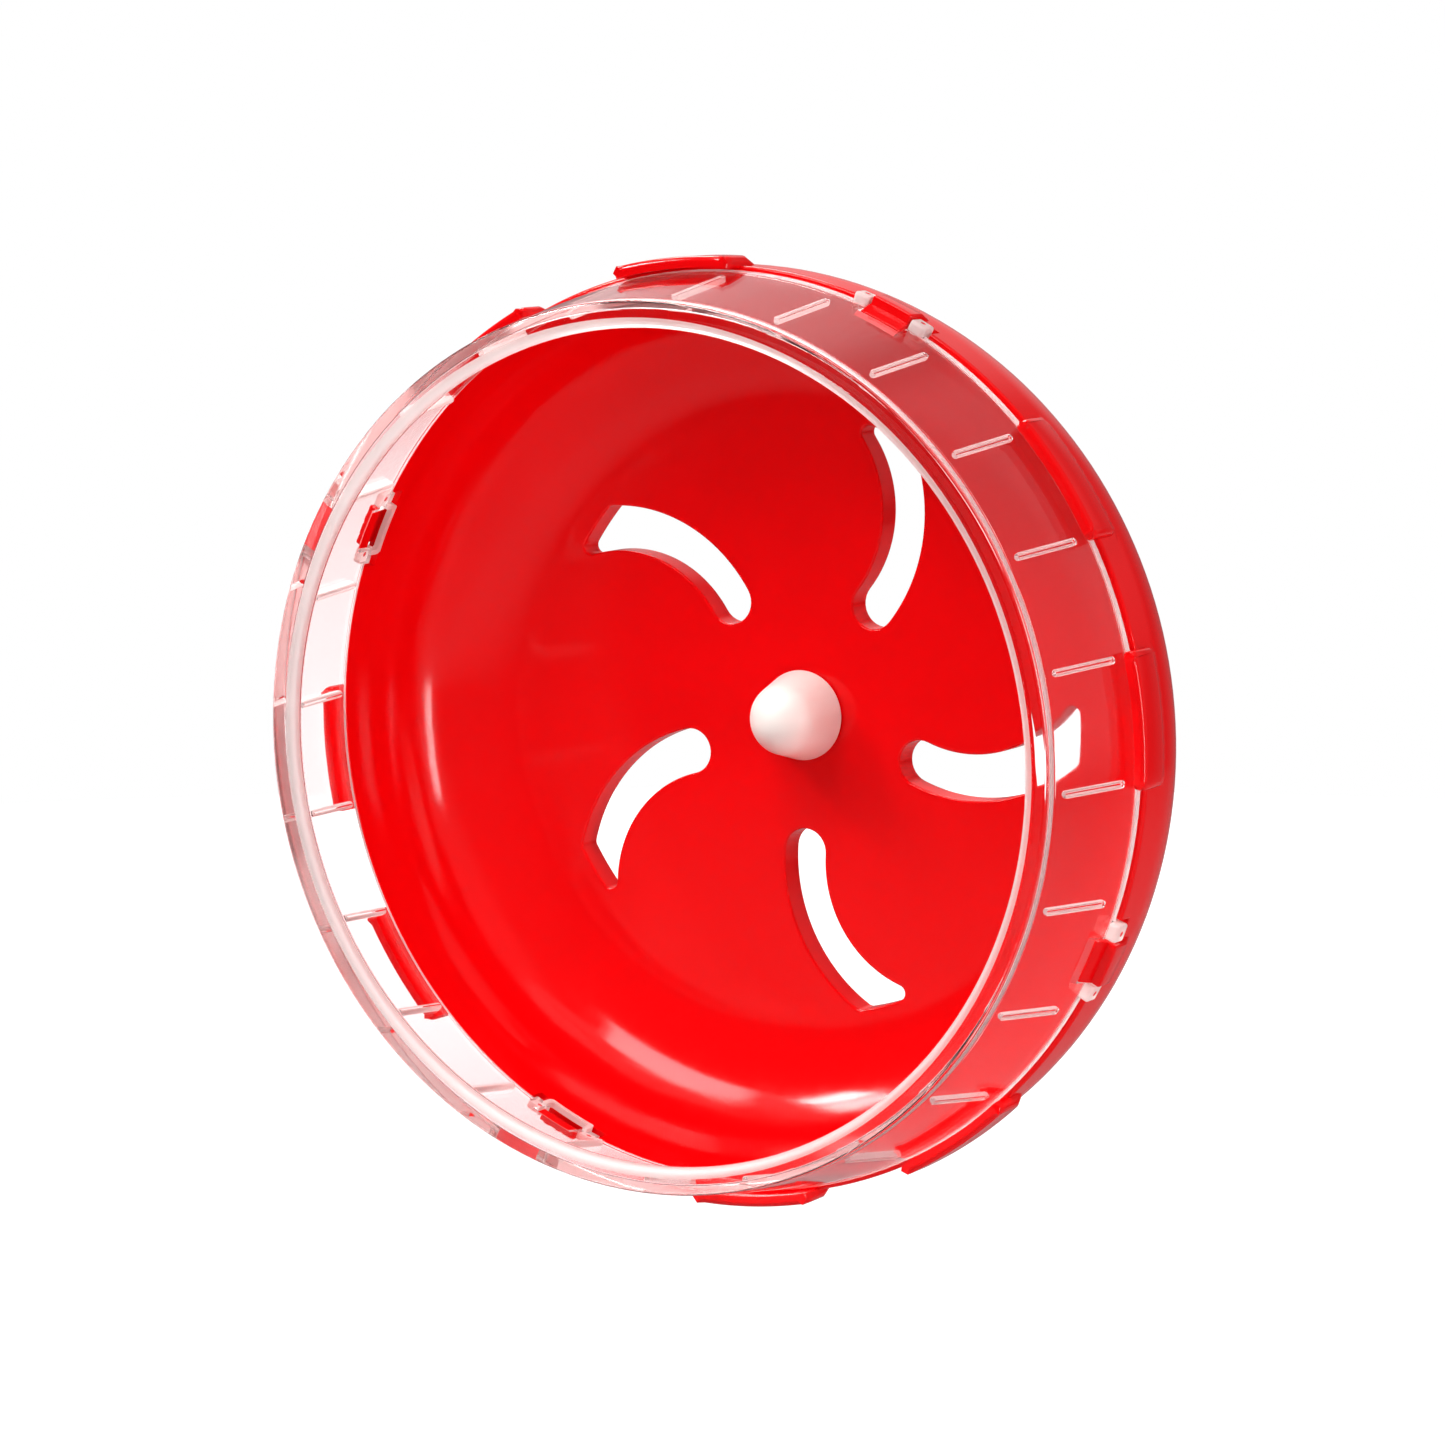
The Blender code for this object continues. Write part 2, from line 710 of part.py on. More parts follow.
def race_profile(seat, shoulder, grooved_outside):
    """Section of a bearing race between its seat and its shoulder, its groove outside or inside."""
    groove_radius = ball_radius + ball_gap
    drop = abs(bearing_pitch_radius - shoulder)
    half = math.degrees(math.acos(drop / groove_radius))
    groove_middle = (bearing_pitch_radius, bearing_middle)
    front = bearing_front
    rear = bearing_rear
    if grooved_outside:
        groove = arc(*groove_middle, groove_radius, 180 - half, 180 + half, groove_steps)
        return [
            (seat + race_chamfer, rear), (shoulder, rear), *groove, (shoulder, front),
            (seat + race_chamfer, front), (seat, front + race_chamfer), (seat, rear - race_chamfer)]
    groove = arc(*groove_middle, groove_radius, -half, half, groove_steps)
    return [
        (seat - race_chamfer, rear), (seat, rear - race_chamfer), (seat, front + race_chamfer),
        (seat - race_chamfer, front), (shoulder, front), *groove, (shoulder, rear)]


def build_races(parts, wheel_axis, fixed_axis, material):
    """Inner race on the fixed axle and outer race in the turning hub."""
    inner_shoulder = bearing_pitch_radius - race_shoulder_gap
    outer_shoulder = bearing_pitch_radius + race_shoulder_gap
    inner_profile = race_profile(bore_radius, inner_shoulder, True)
    outer_profile = race_profile(bearing_outer_radius, outer_shoulder, False)
    inner = turned("bearing_inner_race", inner_profile, hub_steps)
    outer = turned("bearing_outer_race", outer_profile, hub_steps)
    smooth(place(inner, parts, fixed_axis, material))
    smooth(place(outer, parts, wheel_axis, material))


def build_cage(parts, tools, axis, material):
    """Ball cage: a ring with one radial pocket for each ball."""
    inner = bearing_pitch_radius - race_shoulder_gap + cage_clearance
    outer = bearing_pitch_radius + race_shoulder_gap - cage_clearance
    cage = build_tube(
        "bearing_cage", inner, outer, bearing_middle - cage_half_width, bearing_middle + cage_half_width,
        hub_steps, parts, axis, material)
    pocket_radius = ball_radius + ball_gap
    shape = bmesh.new()
    bmesh.ops.create_cone(
        shape, cap_ends=True, segments=pocket_steps, radius1=pocket_radius, radius2=pocket_radius,
        depth=outer - inner + 2 * cut_overrun)
    mesh = bpy.data.meshes.new("ball_pocket")
    shape.to_mesh(mesh)
    shape.free()
    reach = Matrix.Translation((bearing_pitch_radius, 0, bearing_middle))
    lay = reach @ Matrix.Rotation(math.pi / 2, 4, "Y")
    pockets = repeated("ball_pockets", mesh, [turn @ lay for turn in around(ball_angles())])
    combine(cage, as_tool(pockets, tools, axis), "DIFFERENCE")


def ball_angles():
    """Places of the balls round the axle."""
    return [math.tau * index / ball_count for index in range(ball_count)]


def build_balls(parts, axis, material):
    """Steel balls, one object each, sharing a mesh."""
    shape = bmesh.new()
    bmesh.ops.create_uvsphere(
        shape, u_segments=ball_steps_round, v_segments=ball_steps_down, radius=ball_radius)
    mesh = bpy.data.meshes.new("ball")
    shape.to_mesh(mesh)
    shape.free()
    mesh.shade_smooth()
    mesh.materials.append(material)
    for index, angle in enumerate(ball_angles()):
        ball = bpy.data.objects.new(f"bearing_ball_{index + 1}", mesh)
        place(ball, parts, axis)
        ball.location = (
            bearing_pitch_radius * math.cos(angle), -bearing_pitch_radius * math.sin(angle), bearing_middle)


def build_shields(parts, axis, material):
    """Thin dust shields inside both faces of the outer race."""
    inner = bearing_pitch_radius - race_shoulder_gap + seat_gap
    outer = bearing_pitch_radius + race_shoulder_gap - ball_gap
    front = bearing_front + shield_inset
    rear = bearing_rear - shield_inset
    build_tube(
        "bearing_front_shield", inner, outer, front, front + shield_thickness,
        hub_steps, parts, axis, material)
    build_tube(
        "bearing_rear_shield", inner, outer, rear - shield_thickness, rear,
        hub_steps, parts, axis, material)


def build_circlip(parts, axis, material):
    """Open retaining ring in the boss's groove, behind the bearing."""
    outer = bearing_seat_radius + circlip_bite
    rear = circlip_front + circlip_thickness
    profile = [
        (outer, rear), (outer, circlip_front), (circlip_inner_radius, circlip_front),
        (circlip_inner_radius, rear)]
    width = (math.tau - circlip_opening) * outer
    mesh = sector_mesh("bearing_circlip", profile, width, outer, circlip_steps)
    circlip = bpy.data.objects.new("bearing_circlip", mesh)
    circlip.rotation_euler = (0, 0, math.radians(90))
    return smooth(place(circlip, parts, axis, material))


def build_sleeves(parts, axis, material):
    """Sleeves that hold the inner race between the axle's head and the rear collar."""
    build_tube(
        "front_spacer", bore_radius, front_spacer_radius, spigot_front, bearing_front - seat_gap,
        small_steps, parts, axis, material)
    rear_start = bearing_rear + seat_gap
    build_tube(
        "rear_spacer", bore_radius, rear_spacer_radius, rear_start, rear_start + rear_spacer_length,
        small_steps, parts, axis, material)


def build_rear_fixing(parts, tools, axis, plastic, steel):
    """Collar, washer and hexagon nut that clamp the axle to a cage panel."""
    build_tube(
        "mount_collar", bore_radius, collar_radius, collar_front, collar_rear,
        hub_steps, parts, axis, plastic, collar_chamfer)
    build_tube(
        "panel_washer", bore_radius, washer_radius, washer_front, washer_front + washer_thickness,
        hub_steps, parts, axis, steel)
    corner_radius = nut_across_flats / 2 / math.cos(math.pi / nut_sides)
    nut = prism_object("mount_nut", nut_sides, corner_radius, nut_front, nut_front + nut_length)
    place(nut, parts, axis, steel)
    bore = prism_object(
        "nut_bore", small_steps, bore_radius, nut_front - cut_overrun, nut_front + nut_length + cut_overrun)
    combine(nut, as_tool(bore, tools, axis), "DIFFERENCE")


def prism_object(name, sides, radius, front, rear):
    """Upright prism or cylinder about the axis between two depths."""
    shape = bmesh.new()
    bmesh.ops.create_cone(
        shape, cap_ends=True, segments=sides, radius1=radius, radius2=radius, depth=rear - front)
    bmesh.ops.translate(shape, verts=shape.verts, vec=(0, 0, (front + rear) / 2))
    mesh = bpy.data.meshes.new(name)
    shape.to_mesh(mesh)
    shape.free()
    return bpy.data.objects.new(name, mesh)


def main():
    """Build the wheel, its bearing and its rear fixing."""
    clear_scene()
    parts = new_collection("hamster_wheel")
    tools = new_collection("cutters")
    wheel_axis = new_axis("wheel_spin_axis", parts)
    cage_axis = new_axis("cage_spin_axis", parts)
    fixed_axis = new_axis("fixed_axle_axis", parts)
    red = new_material("red_gloss_abs", (0.80, 0.004, 0.008), 0.28)
    clear = new_material("clear_polystyrene", (0.96, 0.97, 0.97), 0.06, transmission=1.0)
    white = new_material("white_abs", (0.86, 0.86, 0.84), 0.35)
    steel = new_material("bearing_steel", (0.62, 0.63, 0.65), 0.22, metallic=1.0)
    zinc = new_material("zinc_plated_steel", (0.70, 0.71, 0.72), 0.36, metallic=1.0)
    nylon = new_material("natural_nylon", (0.80, 0.79, 0.74), 0.45)
    build_ring(parts, tools, wheel_axis, clear)
    build_bowl(parts, tools, wheel_axis, red)
    build_cap(parts, wheel_axis, white)
    build_axle(parts, fixed_axis, zinc)
    build_races(parts, wheel_axis, fixed_axis, steel)
    build_cage(parts, tools, cage_axis, nylon)
    build_balls(parts, cage_axis, steel)
    build_shields(parts, wheel_axis, zinc)
    build_circlip(parts, wheel_axis, steel)
    build_sleeves(parts, fixed_axis, nylon)
    build_rear_fixing(parts, tools, fixed_axis, white, zinc)


main()
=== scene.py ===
"""Looks of a small hamster wheel: clear track ring, glossy red bowl, cap, bearing and panel fixing.

Pieces are modelled in millimetres about a local Z axis, with depth measured along it from the front lip
(0) towards the rear. One matrix then places them in the frame's metres, where the axis is world Y, the
open front faces -Y and +Z is up. Angles are counter-clockwise as seen from the front.
"""
from __future__ import annotations

import logging
import math
from dataclasses import dataclass, field
from enum import Enum

import bmesh
import bpy
from mathutils import Matrix, Vector


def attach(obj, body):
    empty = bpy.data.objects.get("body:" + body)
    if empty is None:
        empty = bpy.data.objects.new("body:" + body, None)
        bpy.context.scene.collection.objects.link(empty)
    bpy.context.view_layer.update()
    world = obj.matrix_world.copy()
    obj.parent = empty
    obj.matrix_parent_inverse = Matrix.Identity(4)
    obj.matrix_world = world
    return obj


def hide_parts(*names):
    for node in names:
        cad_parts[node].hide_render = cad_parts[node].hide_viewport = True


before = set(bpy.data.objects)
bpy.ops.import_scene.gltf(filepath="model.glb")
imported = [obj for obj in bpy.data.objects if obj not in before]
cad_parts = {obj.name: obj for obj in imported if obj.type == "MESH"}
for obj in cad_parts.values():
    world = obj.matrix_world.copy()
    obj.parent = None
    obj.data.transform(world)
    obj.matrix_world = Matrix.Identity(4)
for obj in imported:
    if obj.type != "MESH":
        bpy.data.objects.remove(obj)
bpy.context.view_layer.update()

log = logging.getLogger("hamster_wheel")

MM = 0.001
# Vertices this close together, in millimetres, are one
WELD = 0.0005
# Edges that turn by more than this are shaded as sharp
SHARP_ANGLE = math.radians(32)
# Edges that turn by more than this are rounded on a softened block
SOFTEN_ANGLE = math.radians(48)
# Divisions of a quarter round on the slots' edges
ROUND_STEPS = 4
# Vertices within this angle of the end of a block along the rim lie in its end face
END_ANGLE = 2e-5
# Depth of the fixed collar's rear face, where the frame has its origin
COLLAR_REAR = 65.5
WHITE = (1.0, 1.0, 1.0, 1.0)
# From depth along local Z, in millimetres, to the frame's metres
PLACE = (
    Matrix.Translation((0, -COLLAR_REAR * MM, 0))
    @ Matrix.Rotation(math.radians(-90), 4, "X")
    @ Matrix.Scale(MM, 4))


class Body(Enum):
    """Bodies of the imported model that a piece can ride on."""

    FIXED = "mount"
    WHEEL = "wheel"
    CAGE = "cage"


class Cut(Enum):
    """What a second shape does to the first."""

    ADD = "UNION"
    REMOVE = "DIFFERENCE"
    KEEP = "INTERSECT"


class ClearFace(Enum):
    """Looks of the clear ring's faces, by the number of their finish."""

    PLAIN = 0
    # Edges and flanks with the painted highlight: a pale finish for the bright lines of light piped
    # through the plastic
    EDGE = 1
    # Faces with the red catch close behind: painted see-through red
    PAINTED_SEE_THROUGH = 2


@dataclass(frozen=True)
class Corner:
    """One corner of a section, in millimetres, with the length that its rounding takes off each side."""

    radius: float
    depth: float
    fillet: float = 0.0


@dataclass(frozen=True)
class Layout:
    """Main sizes that several sub-assemblies share, in millimetres, as the solids have them."""

    gap: float = 0.3
    ball_gap: float = 0.15
    track_depth: float = 22.5
    track_front: float = 64.3
    track_rear: float = 68.0
    track_wall: float = 1.6
    joint_count: int = 12
    joint_start: float = math.radians(5.6)
    snap_every: int = 3
    snap_offset: int = 2
    frame_reach: float = 2.9
    frame_bar: float = 2.7
    frame_width: float = 12.6
    frame_inset: float = 0.15
    window_lap: float = 3.6
    bowl_rim: float = 68.6
    bowl_wall: float = 2.0
    bowl_depth: float = 49.5
    boss_rear: float = 60.3
    spigot_front: float = 45.7
    spigot: float = 5.0
    bearing_front: float = 51.7
    bearing_rear: float = 57.7
    bearing_outer: float = 8.5
    axle: float = 3.0

    @property
    def plate_front(self) -> float:
        """Depth of the plate's front face."""
        return self.bowl_depth - self.bowl_wall

    @property
    def bore(self) -> float:
        """Radius of the holes that the fixed stud goes through."""
        return self.axle + self.gap

    def track_radius(self, depth: float) -> float:
        """Outer radius of the tapered track at a depth."""
        return self.track_front + (self.track_rear - self.track_front) * depth / self.track_depth

    def joints(self, snaps: bool) -> list[float]:
        """Angles of the snaps, or of the long tabs, round the rim.

        Args:
            snaps: True for the snaps, False for the long tabs.

        Returns:
            Angles in radians.
        """
        return [
            self.joint_start + math.tau * index / self.joint_count
            for index in range(self.joint_count)
            if (index % self.snap_every == self.snap_offset) == snaps]


def turn(angle: float) -> Matrix:
    """Turn about the axis, counter-clockwise as seen from the front."""
    return Matrix.Rotation(-angle, 4, "Z")


def round_corner(shape: bmesh.types.BMesh, vert: bmesh.types.BMVert, fillet: float) -> None:
    """Rounds one corner of a section, with more segments on a larger rounding.

    Args:
        shape: Section that has the corner.
        vert: The corner.
        fillet: Length that the rounding takes off each side.
    """
    least_segments = 3
    more_per_root = 5
    segments = math.ceil(least_segments + more_per_root * math.sqrt(fillet))
    bmesh.ops.bevel(
        shape, geom=[vert], offset=fillet, offset_type="OFFSET", segments=segments, profile=0.5,
        affect="VERTICES", material=-1)


def round_edges(
        shape: bmesh.types.BMesh, edges: list[bmesh.types.BMEdge], width: float, segments: int) -> None:
    """Rounds edges of a shape.

    Args:
        shape: Shape that has the edges.
        edges: Edges to round.
        width: Length that the rounding takes off each side.
        segments: Divisions of the rounding.
    """
    bmesh.ops.bevel(
        shape, geom=edges, offset=width, offset_type="OFFSET", segments=segments, profile=0.5,
        affect="EDGES", material=-1)


def draw_section(shape: bmesh.types.BMesh, corners: list[Corner]) -> None:
    """Draws a section as one face in the plane of radius and depth, with its corners rounded.

    Args:
        shape: Empty bmesh that the section is drawn in.
        corners: Corners in order round the section.
    """
    verts = [shape.verts.new((corner.radius, 0, corner.depth)) for corner in corners]
    shape.faces.new(verts)
    for vert, corner in zip(verts, corners):
        if corner.fillet > 0:
            round_corner(shape, vert, corner.fillet)
    bmesh.ops.remove_doubles(shape, verts=shape.verts, dist=WELD)


def tidy(shape: bmesh.types.BMesh) -> bmesh.types.BMesh:
    """Merges doubles and turns the faces outwards.

    Args:
        shape: Closed shape.

    Returns:
        The same shape.
    """
    bmesh.ops.remove_doubles(shape, verts=shape.verts, dist=WELD)
    bmesh.ops.dissolve_degenerate(shape, edges=shape.edges, dist=WELD)
    bmesh.ops.recalc_face_normals(shape, faces=shape.faces)
    return shape


def ring_section(
        first: float, second: float, front: float, rear: float, first_round: float,
        second_round: float,
) -> list[Corner]:
    """Section of a plain ring between two radii and two depths.

    Args:
        first: Radius of one face.
        second: Radius of the other face.
        front: Depth of the front.
        rear: Depth of the rear.
        first_round: Rounding of the corners at the first radius.
        second_round: Rounding of the corners at the second radius.

    Returns:
        The four corners.
    """
    return [
        Corner(first, rear, first_round), Corner(first, front, first_round),
        Corner(second, front, second_round), Corner(second, rear, second_round)]


def spin_round(shape: bmesh.types.BMesh, steps: int) -> bmesh.types.BMesh:
    """Sweeps an outline once round the axis.

    Args:
        shape: Outline of edges.
        steps: Divisions round the axis.

    Returns:
        The same bmesh, closed and tidy.
    """
    bmesh.ops.spin(
        shape, geom=shape.verts[:] + shape.edges[:], cent=(0, 0, 0), axis=(0, 0, 1), angle=math.tau,
        steps=steps, use_merge=True, use_duplicate=False)
    return tidy(shape)


def turned(corners: list[Corner], steps: int) -> bmesh.types.BMesh:
    """Turns a closed section once round the axis.

    Args:
        corners: Corners of the section; those at radius 0 lie on the axis.
        steps: Divisions round the axis.

    Returns:
        The closed turned shape.
    """
    shape = bmesh.new()
    draw_section(shape, corners)
    bmesh.ops.delete(shape, geom=shape.faces[:], context="FACES_ONLY")
    on_axis = [edge for edge in shape.edges if all(abs(vert.co.x) < WELD for vert in edge.verts)]
    bmesh.ops.delete(shape, geom=on_axis, context="EDGES")
    return spin_round(shape, steps)


def rim_block(
        corners: list[Corner], width: float, radius: float, steps: int) -> bmesh.types.BMesh:
    """Turns a section part way round the axis, centred on angle 0.

    Args:
        corners: Corners of the section.
        width: Length along the rim.
        radius: Radius at which the width is measured.
        steps: Divisions along the rim.

    Returns:
        The closed block.
    """
    half = width / radius / 2
    shape = bmesh.new()
    draw_section(shape, corners)
    bmesh.ops.rotate(shape, verts=shape.verts, cent=(0, 0, 0), matrix=Matrix.Rotation(-half, 3, "Z"))
    bmesh.ops.spin(
        shape, geom=shape.verts[:] + shape.edges[:] + shape.faces[:], cent=(0, 0, 0), axis=(0, 0, 1),
        angle=2 * half, steps=steps, use_duplicate=False)
    return tidy(shape)


def lofted(loops: list[tuple[list[Vector], float]]) -> bmesh.types.BMesh:
    """Skins a closed solid over flat outlines at several depths.

    Args:
        loops: Outlines with the same number of points, each with its depth.

    Returns:
        The closed solid.
    """
    shape = bmesh.new()
    rings = []
    for outline, depth in loops:
        verts = [shape.verts.new((point.x, -point.y, depth)) for point in outline]
        rings.append([shape.edges.new(pair) for pair in zip(verts, verts[1:] + verts[:1])])
        if depth in (loops[0][1], loops[-1][1]):
            shape.faces.new(verts)
    for near, far in zip(rings, rings[1:]):
        bmesh.ops.bridge_loops(shape, edges=near + far)
    return tidy(shape)


def round_ends(shape: bmesh.types.BMesh, depth: float, half: float, fillet: float) -> None:
    """Rounds the two corners that a rim block has at a depth, as seen from outside.

    Args:
        shape: Block made without any rounding yet.
        depth: Depth of the corners.
        half: Angle from the block's middle to its end.
        fillet: Radius of the rounding.
    """
    corners = [
        edge for edge in shape.edges
        if all(abs(vert.co.z - depth) < WELD for vert in edge.verts)
        and all(half - abs(math.atan2(vert.co.y, vert.co.x)) < END_ANGLE for vert in edge.verts)]
    round_edges(shape, corners, fillet, segments=7)


def soften(
        shape: bmesh.types.BMesh, width: float, least_radius: float, least_depth: float = 0.0) -> None:
    """Rounds the sharp edges that reach beyond a radius and a depth.

    Args:
        shape: Block to soften.
        width: Width of the rounding.
        least_radius: An edge counts if one of its ends lies further out than this.
        least_depth: An edge counts if both its ends lie at least this deep.
    """
    edges = [
        edge for edge in shape.edges
        if edge.is_manifold and edge.calc_face_angle() > SOFTEN_ANGLE
        and any(math.hypot(vert.co.x, vert.co.y) > least_radius for vert in edge.verts)
        and all(vert.co.z > least_depth - WELD for vert in edge.verts)]
    round_edges(shape, edges, width, segments=4)


def repeated(shape: bmesh.types.BMesh, places: list[Matrix]) -> bmesh.types.BMesh:
    """Joins copies of a shape.

    Args:
        shape: Shape to copy; it is used up.
        places: Place of each copy.

    Returns:
        One bmesh with all the copies.
    """
    single = bpy.data.meshes.new("single")
    shape.to_mesh(single)
    shape.free()
    whole = bmesh.new()
    for place in places:
        copy = single.copy()
        copy.transform(place)
        whole.from_mesh(copy)
        bpy.data.meshes.remove(copy)
    bpy.data.meshes.remove(single)
    return whole


def as_object(name: str, shape: bmesh.types.BMesh) -> bpy.types.Object:
    """Makes a linked object of a shape, which is used up.

    Args:
        name: Name of the object and its mesh.
        shape: The shape.

    Returns:
        The new object.
    """
    mesh = bpy.data.meshes.new(name)
    shape.to_mesh(mesh)
    shape.free()
    item = bpy.data.objects.new(name, mesh)
    bpy.context.scene.collection.objects.link(item)
    return item


def carved(base: bmesh.types.BMesh, cuts: list[tuple[bmesh.types.BMesh, Cut]]) -> bmesh.types.BMesh:
    """Adds to and removes from a shape with Booleans, in order.

    Args:
        base: Shape to start from; it is used up.
        cuts: Second shapes, which are used up, and what each does.

    Returns:
        The finished shape.
    """
    item = as_object("carving", base)
    tools = []
    for index, (shape, cut) in enumerate(cuts):
        tool = as_object(f"carving_tool_{index}", shape)
        boolean = item.modifiers.new(tool.name, "BOOLEAN")
        boolean.object = tool
        boolean.operation = cut.value
        boolean.solver = "EXACT"
        tools.append(tool)
    bpy.context.view_layer.update()
    solid = item.evaluated_get(bpy.context.evaluated_depsgraph_get())
    result = bmesh.new()
    result.from_mesh(solid.to_mesh())
    solid.to_mesh_clear()
    for used in [item, *tools]:
        mesh = used.data
        bpy.data.objects.remove(used)
        bpy.data.meshes.remove(mesh)
    bmesh.ops.remove_doubles(result, verts=result.verts, dist=WELD)
    return result


@dataclass(frozen=True)
class Piece:
    """How a finished piece is named and what it stands for."""

    name: str
    node: str
    body: Body
    slot: str

    def place(self, shape: bmesh.types.BMesh, *materials: bpy.types.Material) -> bpy.types.Object:
        """Turns a shape into the finished piece.

        Args:
            shape: Shape in millimetres; it is used up.
            *materials: The piece's finishes, in the order of its faces' material numbers.

        Returns:
            The placed object, its edges sharp where the real ones are.
        """
        shape.transform(PLACE)
        item = as_object(self.name, shape)
        item.data.shade_smooth()
        item.data.set_sharp_from_angle(angle=SHARP_ANGLE)
        for material in materials:
            item.data.materials.append(material)
        normals = item.modifiers.new("Even shading", "WEIGHTED_NORMAL")
        normals.keep_sharp = True
        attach(item, self.body.value)
        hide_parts(self.node)
        log.info("%s: %d faces on %s", self.name, len(item.data.polygons), self.body.value)
        return item


def linear(code: str) -> tuple[float, float, float, float]:
    """Linear colour of an sRGB hex code.

    Args:
        code: Six hex digits.

    Returns:
        Red, green, blue and 1 for alpha.
    """
    # The standard sRGB curve: straight near black, then a power
    values = []
    for start in (0, 2, 4):
        value = int(code[start:start + 2], 16) / 255
        values.append(value / 12.92 if value <= 0.04045 else ((value + 0.055) / 1.055) ** 2.4)
    return values[0], values[1], values[2], 1.0


def add_node(
        tree: bpy.types.NodeTree, kind: str, values: dict | None = None, links: dict | None = None,
        **settings: object,
) -> bpy.types.Node:
    """Adds a node with its settings, socket values and links.

    Args:
        tree: Node tree that gets the node.
        kind: Type name of the node.
        values: Value of each named or numbered input.
        links: Output that feeds each named or numbered input.
        **settings: Properties of the node itself.

    Returns:
        The new node.
    """
    node = tree.nodes.new(kind)
    for name, value in settings.items():
        setattr(node, name, value)
    for name, value in (values or {}).items():
        node.inputs[name].default_value = value
    for name, source in (links or {}).items():
        tree.links.new(source, node.inputs[name])
    return node


def mixed(
        tree: bpy.types.NodeTree, factor: bpy.types.NodeSocket, first: tuple | bpy.types.NodeSocket,
        second: tuple | bpy.types.NodeSocket,
) -> bpy.types.NodeSocket:
    """Mixes two colours.

    Args:
        tree: Node tree that gets the node.
        factor: Output that is 0 for the first colour and 1 for the second.
        first: First colour, or the output that gives it.
        second: Second colour, or the output that gives it.

    Returns:
        The mixed colour.
    """
    mix = tree.nodes.new("ShaderNodeMix")
    mix.data_type = "RGBA"
    inputs = [socket for socket in mix.inputs if socket.type == "RGBA"]
    for socket, colour in zip(inputs, (first, second)):
        if isinstance(colour, tuple):
            socket.default_value = colour
        else:
            tree.links.new(colour, socket)
    tree.links.new(factor, mix.inputs["Factor"])
    return next(socket for socket in mix.outputs if socket.type == "RGBA")


def noise(
        tree: bpy.types.NodeTree, place: bpy.types.NodeSocket, size: float, detail: float,
        roughness: float = 0.5,
) -> bpy.types.NodeSocket:
    """Adds a noise pattern.

    Args:
        tree: Node tree that gets the node.
        place: Output that gives the place in metres.
        size: Size of the pattern's cells in millimetres.
        detail: Levels of finer detail.
        roughness: Strength of each finer level against the one before.

    Returns:
        The pattern, between 0 and 1.
    """
    pattern = add_node(
        tree, "ShaderNodeTexNoise",
        {"Scale": 1 / (size * MM), "Detail": detail, "Roughness": roughness}, {"Vector": place})
    return pattern.outputs["Fac"]


def mapped(
        tree: bpy.types.NodeTree, value: bpy.types.NodeSocket, start: tuple[float, float],
        end: tuple[float, float],
) -> bpy.types.NodeSocket:
    """Maps one range of values to another, held level beyond its ends.

    Args:
        tree: Node tree that gets the node.
        value: Output that gives the value.
        start: Range that the value crosses.
        end: Range of the result.

    Returns:
        The result.
    """
    change = add_node(
        tree, "ShaderNodeMapRange",
        {"From Min": start[0], "From Max": start[1], "To Min": end[0], "To Max": end[1]},
        {"Value": value})
    return change.outputs["Result"]


def bumped(
        tree: bpy.types.NodeTree, pattern: bpy.types.NodeSocket, height: float, strength: float = 1.0,
) -> bpy.types.Node:
    """Adds a fine relief.

    Args:
        tree: Node tree that gets the node.
        pattern: Output that gives the relief, between 0 and 1.
        height: Its height in millimetres.
        strength: Share of the relief that shows.

    Returns:
        The bump node.
    """
    return add_node(
        tree, "ShaderNodeBump", {"Strength": strength, "Distance": height * MM}, {"Height": pattern})


def computed(
        tree: bpy.types.NodeTree, operation: str, first: bpy.types.NodeSocket,
        second: bpy.types.NodeSocket | float, clamp: bool = False,
) -> bpy.types.NodeSocket:
    """Combines two values.

    Args:
        tree: Node tree that gets the node.
        operation: Blender's name of the operation.
        first: Output that gives the first value.
        second: The second value, or the output that gives it.
        clamp: True to keep the result between 0 and 1.

    Returns:
        The result.
    """
    node = add_node(tree, "ShaderNodeMath", links={0: first}, operation=operation, use_clamp=clamp)
    if isinstance(second, float):
        node.inputs[1].default_value = second
    else:
        tree.links.new(second, node.inputs[1])
    return node.outputs["Value"]


def blank(name: str) -> tuple[bpy.types.Material, bpy.types.Node, bpy.types.NodeSocket]:
    """Makes a material to build on.

    Args:
        name: Name of the material.

    Returns:
        The material, its shader and the output that gives the place in metres.
    """
    material = bpy.data.materials.new(name)
    material.use_nodes = True
    tree = material.node_tree
    place = add_node(tree, "ShaderNodeTexCoord").outputs["Object"]
    return material, tree.nodes["Principled BSDF"], place


